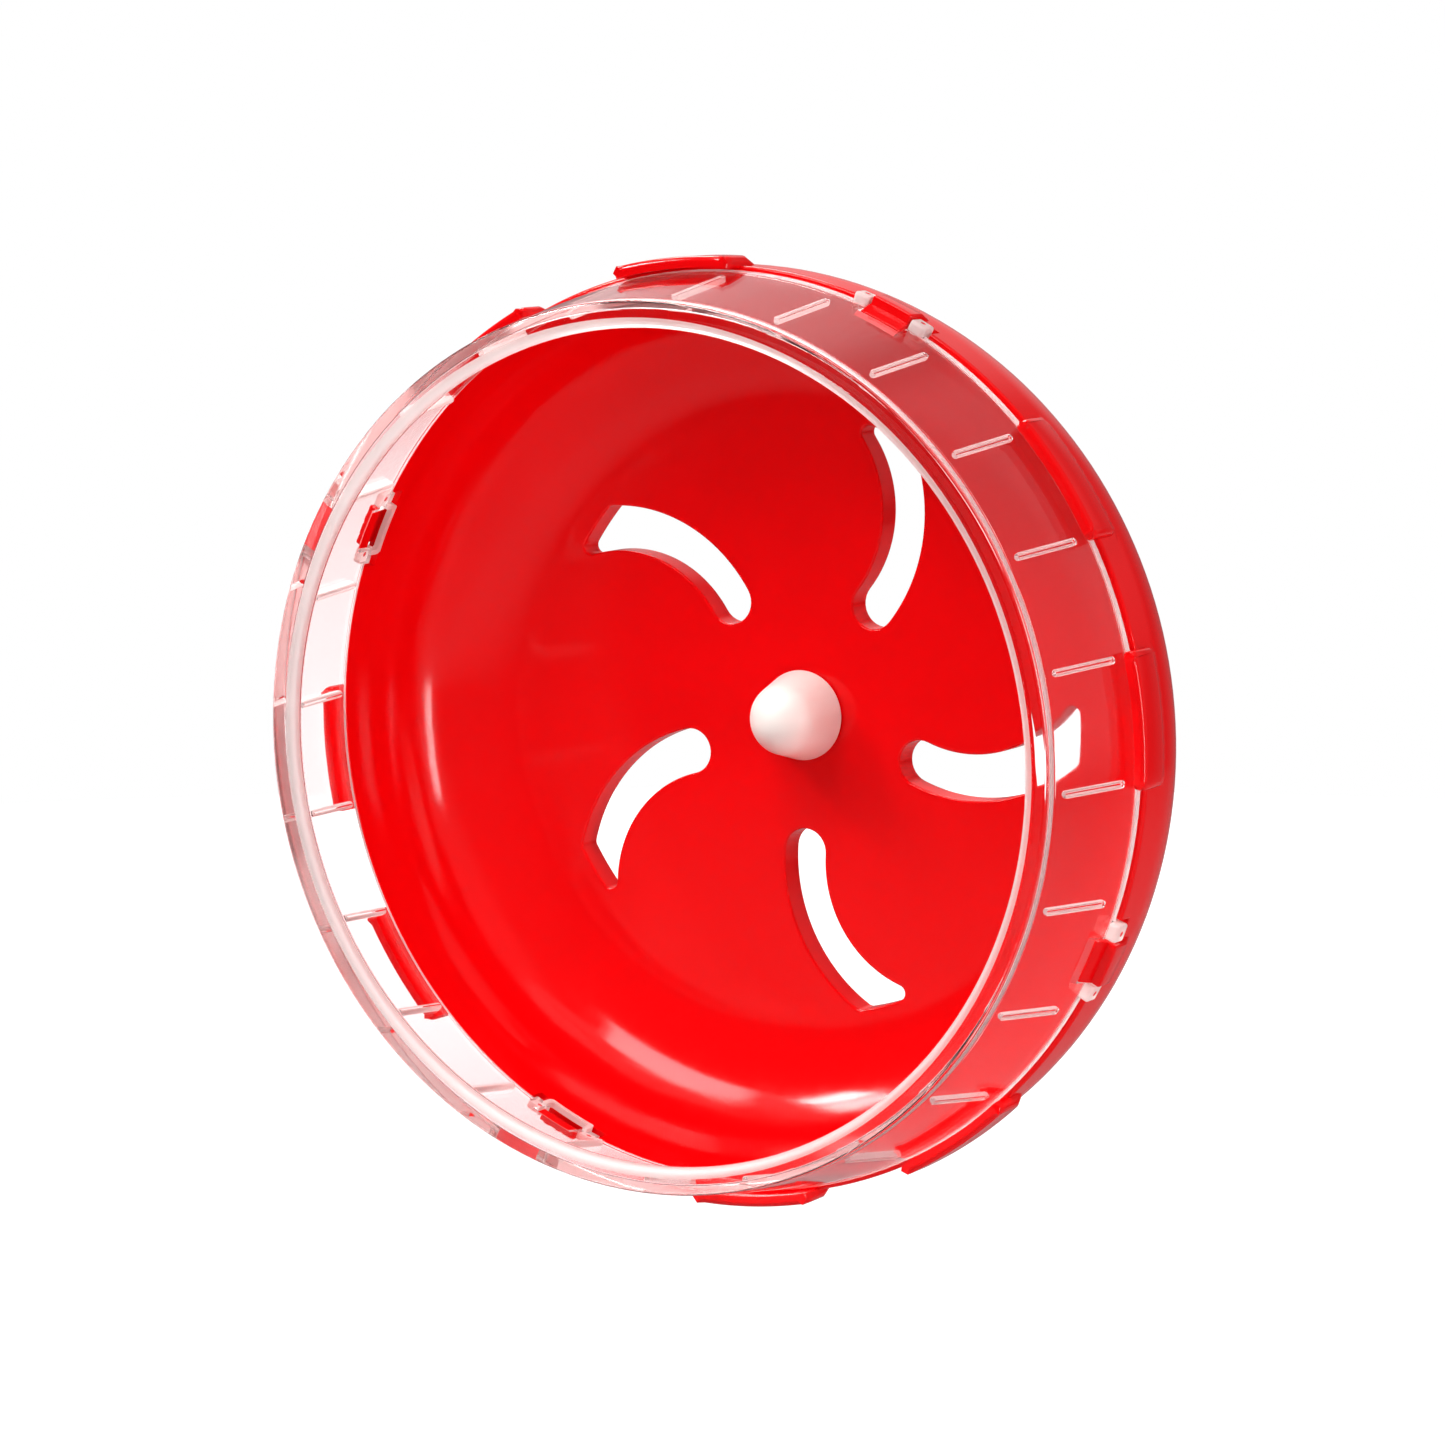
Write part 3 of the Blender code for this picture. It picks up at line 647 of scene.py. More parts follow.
@dataclass(frozen=True)
class MouldedPlastic:
    """Opaque plastic from a polished steel mould: even colour, soft gloss, faint waves and scuffs."""

    name: str
    colour: str
    deep_colour: str
    roughness: float
    roughness_spread: float
    ior: float
    wave_size: float = 7.0
    wave_height: float = 0.006
    grain_size: float = 0.5
    grain_height: float = 0.0006
    patch_size: float = 18.0
    scuff_size: float = 2.5
    scuff_roughness: float = 0.65
    scuff_span: tuple[float, float] = (0.35, 0.75)

    def material(self) -> bpy.types.Material:
        """Builds the material.

        Returns:
            The new material.
        """
        material, shader, place = blank(self.name)
        tree = material.node_tree
        patches = noise(tree, place, self.patch_size, detail=3.0)
        colour = mixed(tree, patches, linear(self.colour), linear(self.deep_colour))
        tree.links.new(colour, shader.inputs["Base Color"])
        scuffs = noise(tree, place, self.scuff_size, detail=6.0, roughness=self.scuff_roughness)
        dullest = self.roughness + self.roughness_spread
        gloss = mapped(tree, scuffs, self.scuff_span, (self.roughness, dullest))
        tree.links.new(gloss, shader.inputs["Roughness"])
        waves = bumped(tree, noise(tree, place, self.wave_size, detail=1.0), self.wave_height)
        grain = bumped(tree, noise(tree, place, self.grain_size, detail=2.0), self.grain_height)
        tree.links.new(waves.outputs["Normal"], grain.inputs["Normal"])
        tree.links.new(grain.outputs["Normal"], shader.inputs["Normal"])
        shader.inputs["IOR"].default_value = self.ior
        return material


@dataclass(frozen=True)
class ClearStyrene:
    """Crystal polystyrene: water-clear, bright at its edges, with faint flow waves from the mould."""

    name: str = "clear_polystyrene_moulded"
    tint: str = "FFFFFF"
    roughness: float = 0.02
    roughness_spread: float = 0.05
    ior: float = 1.5
    flow_size: float = 9.0
    flow_height: float = 0.006
    haze_size: float = 3.0
    haze_span: tuple[float, float] = (0.45, 0.8)

    def material(self) -> bpy.types.Material:
        """Builds the material. Lamps shine through it, as through the real one.

        Returns:
            The new material.
        """
        material, shader, place = blank(self.name)
        tree = material.node_tree
        output = tree.nodes["Material Output"]
        haze = noise(tree, place, self.haze_size, detail=5.0)
        dullest = self.roughness + self.roughness_spread
        gloss = mapped(tree, haze, self.haze_span, (self.roughness, dullest))
        tree.links.new(gloss, shader.inputs["Roughness"])
        flow = bumped(tree, noise(tree, place, self.flow_size, detail=1.0), self.flow_height)
        tree.links.new(flow.outputs["Normal"], shader.inputs["Normal"])
        shader.inputs["Base Color"].default_value = linear(self.tint)
        shader.inputs["Transmission Weight"].default_value = 1.0
        shader.inputs["IOR"].default_value = self.ior
        clear = add_node(tree, "ShaderNodeBsdfTransparent", {"Color": linear(self.tint)})
        rays = add_node(tree, "ShaderNodeLightPath")
        mix = add_node(
            tree, "ShaderNodeMixShader",
            links={
                "Fac": rays.outputs["Is Shadow Ray"], 1: shader.outputs["BSDF"],
                2: clear.outputs["BSDF"]})
        tree.links.new(mix.outputs["Shader"], output.inputs["Surface"])
        return material


@dataclass(frozen=True)
class ClearPaintedLight:
    """Cut edges and flanks of the clear ring: satin plastic painted pale, a painted highlight for the
    light piped to them.
    """

    name: str = "clear_polystyrene_painted_highlight"
    # A pale colour here is a painted highlight; a red one is painted see-through red
    colour: str = "FDF0ED"
    roughness: float = 0.38
    roughness_spread: float = 0.2
    clearness: float = 0.5
    ior: float = 1.5
    grain_size: float = 0.6
    grain_span: tuple[float, float] = (0.3, 0.7)

    def material(self) -> bpy.types.Material:
        """Builds the material.

        Returns:
            The new material.
        """
        material, shader, place = blank(self.name)
        tree = material.node_tree
        grain = noise(tree, place, self.grain_size, detail=3.0)
        dullest = self.roughness + self.roughness_spread
        gloss = mapped(tree, grain, self.grain_span, (self.roughness, dullest))
        tree.links.new(gloss, shader.inputs["Roughness"])
        shader.inputs["Base Color"].default_value = linear(self.colour)
        shader.inputs["Transmission Weight"].default_value = self.clearness
        shader.inputs["IOR"].default_value = self.ior
        return material


@dataclass(frozen=True)
class TurnedMetal:
    """Metal with the fine rings that a lathe or grinding wheel leaves, and a mottled polish."""

    name: str
    colour: str
    deep_colour: str
    roughness: float
    roughness_spread: float
    line_size: float = 0.35
    line_height: float = 0.002
    patch_size: float = 2.2
    patch_span: tuple[float, float] = (0.3, 0.7)

    def material(self) -> bpy.types.Material:
        """Builds the material.

        Returns:
            The new material.
        """
        material, shader, place = blank(self.name)
        tree = material.node_tree
        across = add_node(
            tree, "ShaderNodeVectorMath", {1: (1.0, 0.0, 1.0)}, {0: place}, operation="MULTIPLY")
        distance = add_node(
            tree, "ShaderNodeVectorMath", links={0: across.outputs["Vector"]}, operation="LENGTH")
        along = add_node(tree, "ShaderNodeSeparateXYZ", links={"Vector": place})
        rings_at = add_node(
            tree, "ShaderNodeCombineXYZ",
            links={"X": distance.outputs["Value"], "Y": along.outputs["Y"]})
        rings = noise(tree, rings_at.outputs["Vector"], self.line_size, detail=3.0)
        patches = noise(tree, place, self.patch_size, detail=4.0)
        colour = mixed(tree, patches, linear(self.colour), linear(self.deep_colour))
        dullest = self.roughness + self.roughness_spread
        gloss = mapped(tree, patches, self.patch_span, (self.roughness, dullest))
        lines = bumped(tree, rings, self.line_height)
        tree.links.new(colour, shader.inputs["Base Color"])
        tree.links.new(gloss, shader.inputs["Roughness"])
        tree.links.new(lines.outputs["Normal"], shader.inputs["Normal"])
        shader.inputs["Metallic"].default_value = 1.0
        return material


@dataclass(frozen=True)
class Finishes:
    """The finishes of all pieces, each made once."""

    red: bpy.types.Material
    clear: bpy.types.Material
    clear_edge: bpy.types.Material
    clear_at_catch: bpy.types.Material
    white: bpy.types.Material
    steel: bpy.types.Material
    zinc: bpy.types.Material
    nylon: bpy.types.Material

    @classmethod
    def made(cls) -> Finishes:
        """Builds every finish.

        Returns:
            The finishes.
        """
        return cls(
            # Pigmented ABS straight from a polished mould: deep saturated red with a soft lacquer gloss
            red=MouldedPlastic(
                "red_abs_moulded", "EC0107", "E00104", roughness=0.10, roughness_spread=0.05,
                ior=1.42).material(),
            # Crystal polystyrene from a polished mould: water-clear, with sharp reflections
            clear=ClearStyrene().material(),
            # Its cut edges and flanks: satin, painted pale as a painted highlight for the light piped to
            # them
            clear_edge=ClearPaintedLight().material(),
            # The same plastic where red lies close behind a face or sink mark: painted see-through red,
            # in place of the red that shows through it
            clear_at_catch=ClearPaintedLight("clear_polystyrene_painted_see_through", "EA1A1E").material(),
            # White ABS with a satin mould: highlights spread wide and soft
            white=MouldedPlastic(
                "white_abs_satin", "F1EFEA", "EAE7E0", roughness=0.30, roughness_spread=0.12,
                ior=1.46).material(),
            # Ground bearing steel: bright, with hair-fine rings
            steel=TurnedMetal(
                "bearing_steel_ground", "CFD2D6", "BFC2C7", roughness=0.13,
                roughness_spread=0.10).material(),
            # Bright zinc plating over turned steel: paler blue-grey, mottled and softer
            zinc=TurnedMetal(
                "zinc_plated_steel_bright", "C9CDD1", "B3B9C0", roughness=0.24,
                roughness_spread=0.16).material(),
            # Natural nylon, machined: milky, waxy and faintly warm
            nylon=MouldedPlastic(
                "natural_nylon_machined", "E9E4D4", "DED8C6", roughness=0.42, roughness_spread=0.12,
                ior=1.53).material())


@dataclass(frozen=True)
class TrackRing:
    """Clear front ring: tapered wall, rounded lip, rungs to run on, and frames that snap to the bowl."""

    layout: Layout
    steps: int = 192
    frame_steps: int = 14
    window_steps: int = 10
    rung_sides: int = 24
    lip_height: float = 3.9
    lip_thickness: float = 3.0
    lip_corner: float = 0.4
    # Width of the lip's inner band that gets the painted highlight
    lip_painted_highlight: float = 1.6
    edge_round: float = 0.25
    rung_count: int = 24
    rung_front: float = 5.5
    rung_rear: float = 19.8
    rung_width: float = 1.1
    rung_height: float = 0.9
    rung_sink: float = 0.8
    rung_round: float = 0.45
    frame_root: float = 1.0
    frame_corner: float = 1.3
    frame_edge: float = 0.3
    bead_width: float = 0.8
    bead_proud: float = 0.45
    post_width: float = 2.7
    post_proud: float = 1.3
    post_lap: float = 1.3
    post_reach: float = 2.1
    post_round: float = 0.7
    dimple: float = 0.5
    dimple_depth: float = 0.25
    window_slant: float = 0.6
    overrun: float = 1.0
    # A face whose normal reaches this far along the axis looks forward or back
    along_axis: float = 0.8
    # A face whose normal reaches less than this out from the axis, or along it, is a flank
    flank_facing: float = 0.6
    # The tapered wall's faces reach further outwards than this, the rungs' rounded flanks don't
    wall_facing: float = 0.98
    # The middle of a flat face of a sink mark's ball lies at least this share of its radius out
    facet_depth: float = 0.9

    def wall(self) -> bmesh.types.BMesh:
        """Tapered wall with its lip turned inwards.

        Returns:
            The turned wall.
        """
        size = self.layout
        lip_inner = size.track_front - self.lip_height
        lip_root = size.track_radius(self.lip_thickness) - size.track_wall
        half = self.lip_thickness / 2
        return turned([
            Corner(size.track_rear, size.track_depth, self.edge_round),
            Corner(size.track_front, 0, self.lip_corner),
            Corner(lip_inner, 0, half),
            Corner(lip_inner, self.lip_thickness, half),
            Corner(lip_root, self.lip_thickness, self.edge_round),
            Corner(size.track_rear - size.track_wall, size.track_depth, self.edge_round)], self.steps)

    def rungs(self) -> bmesh.types.BMesh:
        """Bars with round ends and rounded tops along the inside of the wall.

        Returns:
            The rungs, all in one bmesh.
        """
        size = self.layout
        half_width = self.rung_width / 2
        shape = bmesh.new()
        bmesh.ops.create_circle(shape, cap_ends=True, segments=self.rung_sides, radius=half_width)
        straight = (self.rung_rear - self.rung_front) / 2 - half_width
        for vert in shape.verts:
            vert.co.y += math.copysign(straight, vert.co.y + WELD)
        bmesh.ops.translate(shape, verts=shape.verts, vec=(0, 0, -self.rung_sink))
        tall = bmesh.ops.extrude_face_region(shape, geom=shape.faces[:])
        top = [item for item in tall["geom"] if isinstance(item, bmesh.types.BMVert)]
        bmesh.ops.translate(shape, verts=top, vec=(0, 0, self.rung_sink + self.rung_height))
        tidy(shape)
        crest = [
            edge for edge in shape.edges
            if all(vert.co.z > self.rung_height - WELD for vert in edge.verts)]
        round_edges(shape, crest, self.rung_round, segments=5)
        middle = (self.rung_front + self.rung_rear) / 2
        lean = math.atan2(size.track_rear - size.track_front, size.track_depth)
        inward = Matrix(((0, 0, -1), (-1, 0, 0), (0, 1, 0))).to_4x4()
        seat = Matrix.Translation((size.track_radius(middle) - size.track_wall, 0, middle))
        stand = seat @ Matrix.Rotation(lean, 4, "Y") @ inward
        pitch = math.tau / self.rung_count
        angles = [size.joint_start + pitch * (index + 0.5) for index in range(self.rung_count)]
        return repeated(shape, [turn(angle) @ stand for angle in angles])

    def frames(self) -> bmesh.types.BMesh:
        """Frames that reach back into the bowl's notches.

        Returns:
            The frames, all in one bmesh.
        """
        size = self.layout
        root = size.track_depth - self.frame_root
        rear = size.track_depth + size.frame_reach
        outer = size.track_rear - size.frame_inset
        inner = size.track_rear - size.track_wall + size.frame_inset
        root_outer = size.track_radius(root) - size.frame_inset
        shape = rim_block([
            Corner(root_outer - size.track_wall + 2 * size.frame_inset, root), Corner(root_outer, root),
            Corner(outer, size.track_depth), Corner(outer, rear), Corner(inner, rear)],
            size.frame_width, size.track_rear, self.frame_steps)
        round_ends(shape, rear, size.frame_width / size.track_rear / 2, self.frame_corner)
        soften(shape, self.frame_edge, 0.0, size.track_depth)
        return repeated(shape, [turn(angle) for angle in size.joints(True)])

    def beads(self) -> bmesh.types.BMesh:
        """Rounded bead on the inside of each frame, round its two ends and its rear edge.

        Returns:
            The beads, all in one bmesh.
        """
        size = self.layout
        front = size.track_depth + self.edge_round
        rear = size.track_depth + size.frame_reach - size.frame_inset
        root = size.track_rear - size.track_wall + size.frame_inset + self.bead_proud
        crest = root - 2 * self.bead_proud
        width = size.frame_width - 2 * (self.post_width - self.bead_width)
        bead = rim_block(
            [Corner(root, front), Corner(root, rear), Corner(crest, rear), Corner(crest, front)],
            width, size.track_rear, self.frame_steps)
        round_ends(bead, rear, width / size.track_rear / 2, self.frame_corner)
        inside = rim_block([
            Corner(root + self.overrun, front - self.overrun),
            Corner(root + self.overrun, rear - self.bead_width),
            Corner(crest - self.overrun, rear - self.bead_width),
            Corner(crest - self.overrun, front - self.overrun)],
            width - 2 * self.bead_width, size.track_rear, self.frame_steps)
        round_ends(
            inside, rear - self.bead_width, (width / 2 - self.bead_width) / size.track_rear,
            self.frame_corner / 2)
        bead = carved(bead, [(inside, Cut.REMOVE)])
        return repeated(bead, [turn(angle) for angle in size.joints(True)])

    def posts(self) -> bmesh.types.BMesh:
        """Rounded blocks at both sides of each snap window.

        Returns:
            The posts, all in one bmesh.
        """
        size = self.layout
        front = size.track_depth - self.post_lap
        rear = size.track_depth + self.post_reach
        inner = size.track_rear - size.track_wall + 2 * size.frame_inset
        outer = size.track_rear + self.post_proud
        half = self.post_width / size.track_rear / 2
        shape = rim_block([
            Corner(inner, front), Corner(outer, front), Corner(outer, rear), Corner(inner, rear)],
            self.post_width, size.track_rear, steps=1)
        round_ends(shape, front, half, self.post_round)
        round_ends(shape, rear, half, self.post_round)
        soften(shape, self.post_round / 2, outer - self.post_proud / 2)
        return repeated(shape, [turn(angle) for angle in self.post_angles()])

    def post_angles(self) -> list[float]:
        """Angles of the posts, two at each snap.

        Returns:
            Angles in radians.
        """
        size = self.layout
        swing = ((size.frame_width - self.post_width) / 2 - size.frame_inset) / size.track_rear
        return [angle + side for angle in size.joints(True) for side in (-swing, swing)]

    def dimples(self) -> bmesh.types.BMesh:
        """Shallow round sink marks in the outer faces of the posts.

        Returns:
            The balls that leave the marks, all in one bmesh.
        """
        shape = bmesh.new()
        bmesh.ops.create_icosphere(shape, subdivisions=3, radius=self.dimple)
        return repeated(shape, self.dimple_places())

    def dimple_places(self) -> list[Matrix]:
        """Places of the balls that leave the sink marks.

        Returns:
            One place for each post.
        """
        size = self.layout
        reach = size.track_rear + self.post_proud + self.dimple - self.dimple_depth
        middle = size.track_depth + (self.post_reach - self.post_lap) / 2
        seat = Matrix.Translation((reach, 0, middle))
        return [turn(angle) @ seat for angle in self.post_angles()]

    def in_dimple(self, point: Vector) -> bool:
        """Tells whether a point lies on the hollow of a sink mark.

        Args:
            point: Middle of a face of a post.

        Returns:
            True on the hollow, False on the post's own surface.
        """
        just_sunk = self.dimple_depth / 8
        surface = self.layout.track_rear + self.post_proud
        return math.hypot(point.x, point.y) < surface - just_sunk and any(
            self.facet_depth * self.dimple < (point - place.translation).length < self.dimple + WELD
            for place in self.dimple_places())

    def windows(self) -> bmesh.types.BMesh:
        """Openings that the bowl's catches fill.

        Returns:
            The cutters, all in one bmesh.
        """
        size = self.layout
        front = size.track_depth - size.window_lap
        rear = size.track_depth + size.frame_reach - size.frame_bar
        outer = size.track_rear + self.post_proud + self.overrun
        surface = size.track_radius(front)
        inner = surface - 2 * size.track_wall
        shape = rim_block([
            Corner(inner, front - 2 * self.window_slant), Corner(surface, front), Corner(outer, front),
            Corner(outer, rear), Corner(inner, rear)],
            size.frame_width - 2 * self.post_width, size.track_rear, self.window_steps)
        return repeated(shape, [turn(angle) for angle in size.joints(True)])

    def build(self, finishes: Finishes) -> None:
        """Builds the ring and gives each face its look.

        Args:
            finishes: The finishes of all pieces.
        """
        shape = carved(self.wall(), [
            (self.rungs(), Cut.ADD), (self.frames(), Cut.ADD), (self.beads(), Cut.ADD),
            (self.posts(), Cut.ADD), (self.dimples(), Cut.REMOVE), (self.windows(), Cut.REMOVE)])
        for face in shape.faces:
            face.material_index = self.finish_of(face).value
        Piece("clear_track_ring", "front_track_ring", Body.WHEEL, "clear_polystyrene").place(
            shape, finishes.clear, finishes.clear_edge, finishes.clear_at_catch)

    def finish_of(self, face: bmesh.types.BMFace) -> ClearFace:
        """Tells which finish a face gets: edges and flanks of clear plastic get the painted highlight, a
        pale colour for the light they gather.

        Where the bowl's catch lies close behind a face, beside the windows and in the sink marks, red is
        painted in for the red that shows through.

        Args:
            face: A face of the finished ring.

        Returns:
            Its look.
        """
        size = self.layout
        middle = face.calc_center_median()
        radius = math.hypot(middle.x, middle.y)
        outwards = Vector((middle.x / radius, middle.y / radius, 0))
        along = abs(face.normal.z)
        outward = abs(face.normal.dot(outwards))
        window_front = size.track_depth - size.window_lap
        from_window = abs(middle.z - window_front + self.window_slant / 2)
        if along > self.along_axis and from_window < self.window_slant:
            return ClearFace.PAINTED_SEE_THROUGH
        if radius > size.track_rear:
            return ClearFace.PAINTED_SEE_THROUGH if self.in_dimple(middle) else ClearFace.EDGE
        if middle.z > size.track_depth - self.edge_round:
            is_edge = outward < self.flank_facing or radius < size.track_rear - size.track_wall
        elif middle.z < self.lip_thickness / 2:
            is_edge = radius < size.track_front - self.lip_height + self.lip_painted_highlight
        else:
            clear_of_wall = self.rung_round / 8
            on_rung = radius < size.track_radius(middle.z) - size.track_wall - clear_of_wall
            on_flank = outward < self.wall_facing and along < self.flank_facing
            is_edge = on_rung and on_flank and middle.z > self.rung_front
        return ClearFace.EDGE if is_edge else ClearFace.PLAIN


@dataclass(frozen=True)
class Slot:
    """One curved slot in the plate: a band about an arc whose centre lies off the hub."""

    arc_radius: float = 22.396
    arc_offset: float = 31.793
    arc_bearing: float = math.radians(99.8)
    half_width: float = 3.45
    corner: float = 1.2
    inner: float = 17.4
    outer: float = 45.6
    side_steps: int = 28
    end_steps: int = 16
    corner_steps: int = 8
    tight_corner_steps: int = 10

    def bearing(self, band_radius: float, hub_distance: float) -> float:
        """Angle about the arc's centre where a band circle lies at a distance from the hub."""
        spread = hub_distance ** 2 - self.arc_offset ** 2 - band_radius ** 2
        return self.arc_bearing - math.acos(spread / (2 * self.arc_offset * band_radius))

    def outline(self, grow: float) -> list[Vector]:
        """Outline of the slot, grown all round by a length.

        Args:
            grow: Length in millimetres, outwards from the slot.

        Returns:
            Points round the outline, always the same number.
        """
        convex = self.arc_radius + self.half_width
        concave = self.arc_radius - self.half_width
        centre = polar(self.arc_offset, self.arc_bearing)
        start = self.bearing(self.arc_radius, self.inner + self.half_width)
        convex_end = self.bearing(convex - self.corner, self.outer - self.corner)
        concave_end = self.bearing(concave + self.corner, self.outer - self.corner)
        convex_corner = centre + polar(convex - self.corner, convex_end)
        concave_corner = centre + polar(concave + self.corner, concave_end)
        convex_side = math.atan2(convex_corner.y, convex_corner.x)
        concave_side = math.atan2(concave_corner.y, concave_corner.x)
        inner_end = centre + polar(self.arc_radius, start)
        fillet = self.corner + grow
        points = arc(centre, convex + grow, start, convex_end, self.side_steps)
        points += arc(convex_corner, fillet, convex_end, convex_side, self.corner_steps)[1:]
        points += arc(
            Vector((0, 0)), self.outer + grow, convex_side, concave_side, self.corner_steps)[1:]
        points += arc(
            concave_corner, fillet, concave_side, concave_end + math.pi, self.tight_corner_steps)[1:]
        points += arc(centre, concave - grow, concave_end, start, self.side_steps)[1:]
        points += arc(
            inner_end, self.half_width + grow, start + math.pi, start + math.tau,
            self.end_steps)[1:-1]
        return points


def polar(distance: float, angle: float) -> Vector:
    """Vector of a length at an angle in the plate's plane."""
    return Vector((math.cos(angle), math.sin(angle))) * distance


def arc(centre: Vector, radius: float, start: float, end: float, steps: int) -> list[Vector]:
    """Points of an arc in the plate's plane.

    Args:
        centre: Centre of the arc.
        radius: Its radius.
        start: First angle in radians.
        end: Last angle in radians.
        steps: Divisions of the arc.

    Returns:
        The points from start to end.
    """
    return [centre + polar(radius, start + (end - start) * index / steps) for index in range(steps + 1)]


@dataclass(frozen=True)
class Bowl:
    """Red bowl: plate with slots and collars, round corner, rim joints, hub boss and front spigot."""

    layout: Layout
    slot: Slot = field(default_factory=Slot)
    steps: int = 192
    tab_steps: int = 20
    tongue_steps: int = 9
    notch_steps: int = 14
    slot_count: int = 5
    corner: float = 21.5
    rim_round: float = 0.5
    edge_round: float = 0.3
    boss: float = 11.2
    boss_fillet: float = 1.5
    web: float = 2.7
    sleeve: float = 4.3
    stop: float = 6.4
    seat: float = 8.8
    groove: float = 9.6
    groove_front: float = 57.85
    groove_rear: float = 58.95
    collar_wall: float = 1.3
    collar_reach: float = 2.5
    slot_round: float = 0.35
    tab_outer: float = 70.0
    tab_width: float = 20.0
    tab_lap: float = 3.2
    tab_tail: float = 6.2
    tab_slope: float = 4.0
    tab_corner: float = 1.6
    tab_edge: float = 0.9
    tongue_outer: float = 69.8
    tongue_width: float = 6.8
    tongue_lap: float = 1.0
    tongue_edge: float = 0.35
    catch_width: float = 6.6
    catch_reach: float = 1.3
    catch_slope: float = 0.9
    overrun: float = 1.0

    def skin(self) -> bmesh.types.BMesh:
        """Turned body with the boss, its stepped bore and the spigot.

        Returns:
            The turned body.
        """
        size = self.layout
        rim = size.track_depth + size.gap
        inner = size.bowl_rim - size.bowl_wall
        web_rear = size.plate_front + self.web
        seat_front = size.bearing_front - size.gap
        return turned([
            Corner(self.boss, size.boss_rear, self.edge_round),
            Corner(self.boss, size.bowl_depth, self.boss_fillet),
            Corner(size.bowl_rim, size.bowl_depth, self.corner),
            Corner(size.bowl_rim, rim, self.rim_round),
            Corner(inner, rim, self.edge_round),
            Corner(inner, size.plate_front, self.corner - size.bowl_wall),
            Corner(size.spigot, size.plate_front, self.edge_round),
            Corner(size.spigot, size.spigot_front, self.edge_round),
            Corner(self.sleeve, size.spigot_front),
            Corner(self.sleeve, web_rear),
            Corner(self.stop, web_rear),
            Corner(self.stop, seat_front),
            Corner(self.seat, seat_front),
            Corner(self.seat, self.groove_front),
            Corner(self.groove, self.groove_front),
            Corner(self.groove, self.groove_rear),
            Corner(self.seat, self.groove_rear),
            Corner(self.seat, size.boss_rear, self.edge_round)], self.steps)

    def slot_turns(self) -> list[Matrix]:
        """Turns about the axis from the first slot to each of them."""
        return [turn(math.tau * index / self.slot_count) for index in range(self.slot_count)]

    def collars(self) -> bmesh.types.BMesh:
        """Stiffening collars round the slots, behind the plate, with rounded rear edges.

        Returns:
            The collars, all in one bmesh.
        """
        size = self.layout
        rear = size.bowl_depth + self.collar_reach
        loops = [(self.slot.outline(self.collar_wall), size.bowl_depth - size.bowl_wall / 2)]
        for index in range(ROUND_STEPS + 1):
            angle = math.pi / 2 * index / ROUND_STEPS
            grow = self.collar_wall - self.edge_round * (1 - math.cos(angle))
            loops.append((self.slot.outline(grow), rear - self.edge_round * (1 - math.sin(angle))))
        return repeated(lofted(loops), self.slot_turns())

    def openings(self) -> bmesh.types.BMesh:
        """Cutters for the slots, flared at both ends so that the edges they leave are rounded.

        Returns:
            The cutters, all in one bmesh.
        """
        size = self.layout
        front = size.plate_front
        rear = size.bowl_depth + self.collar_reach
        loops = [(self.slot.outline(self.slot_round), front - self.overrun)]
        for index in range(ROUND_STEPS + 1):
            angle = math.pi / 2 * index / ROUND_STEPS
            grow = self.slot_round * (1 - math.sin(angle))
            loops.append((self.slot.outline(grow), front + self.slot_round * (1 - math.cos(angle))))
        for index in range(ROUND_STEPS + 1):
            angle = math.pi / 2 * index / ROUND_STEPS
            grow = self.slot_round * (1 - math.cos(angle))
            loops.append((self.slot.outline(grow), rear - self.slot_round * (1 - math.sin(angle))))
        loops.append((self.slot.outline(self.slot_round), rear + self.overrun))
        return repeated(lofted(loops), self.slot_turns())

    def lapping_block(self, outer: float, lap: float, width: float, steps: int) -> bmesh.types.BMesh:
        """Block that laps over the ring's edge and slopes down into the bowl's wall.

        Args:
            outer: Outer radius.
            lap: Length that it laps over the ring.
            width: Width along the rim.
            steps: Divisions along the rim.

        Returns:
            The block, still sharp-edged.
        """
        size = self.layout
        inner = size.track_rear + size.gap
        rear = size.track_depth + size.gap + self.tab_tail
        front = size.track_depth - lap
        return rim_block([
            Corner(inner, front), Corner(outer, front), Corner(outer, rear - self.tab_slope),
            Corner(inner, rear)], width, outer, steps)

    def tabs(self) -> bmesh.types.BMesh:
        """Long tabs that hold the ring's edge, with round corners and soft edges.

        Returns:
            The tabs, all in one bmesh.
        """
        size = self.layout
        shape = self.lapping_block(self.tab_outer, self.tab_lap, self.tab_width, self.tab_steps)
        half = self.tab_width / self.tab_outer / 2
        round_ends(shape, size.track_depth - self.tab_lap, half, self.tab_corner)
        soften(shape, self.tab_edge, size.track_rear + 2 * size.gap)
        return repeated(shape, [turn(angle) for angle in size.joints(False)])

    def tongues(self) -> bmesh.types.BMesh:
        """Snap tongues between the ring's posts.

        Returns:
            The tongues, all in one bmesh.
        """
        size = self.layout
        shape = self.lapping_block(
            self.tongue_outer, self.tongue_lap, self.tongue_width, self.tongue_steps)
        soften(shape, self.tongue_edge, size.track_rear + 2 * size.gap)
        return repeated(shape, [turn(angle) for angle in size.joints(True)])

    def catches(self) -> bmesh.types.BMesh:
        """Catches that reach forward from the tongues and fill the ring's windows.

        Returns:
            The catches, all in one bmesh.
        """
        size = self.layout
        front = size.track_depth - size.window_lap + size.gap
        rear = size.track_depth + size.frame_reach - size.frame_bar - size.gap
        root = size.track_depth - self.tongue_lap + size.frame_inset
        outer = size.track_rear + size.gap + size.frame_inset
        inner = size.track_rear - self.catch_reach
        shape = rim_block([
            Corner(size.track_radius(front), front, self.edge_round), Corner(outer, root),
            Corner(outer, rear), Corner(inner, rear, self.edge_round),
            Corner(inner, front + self.catch_slope, self.edge_round)],
            self.catch_width, size.track_rear, self.tongue_steps)
        return repeated(shape, [turn(angle) for angle in size.joints(True)])

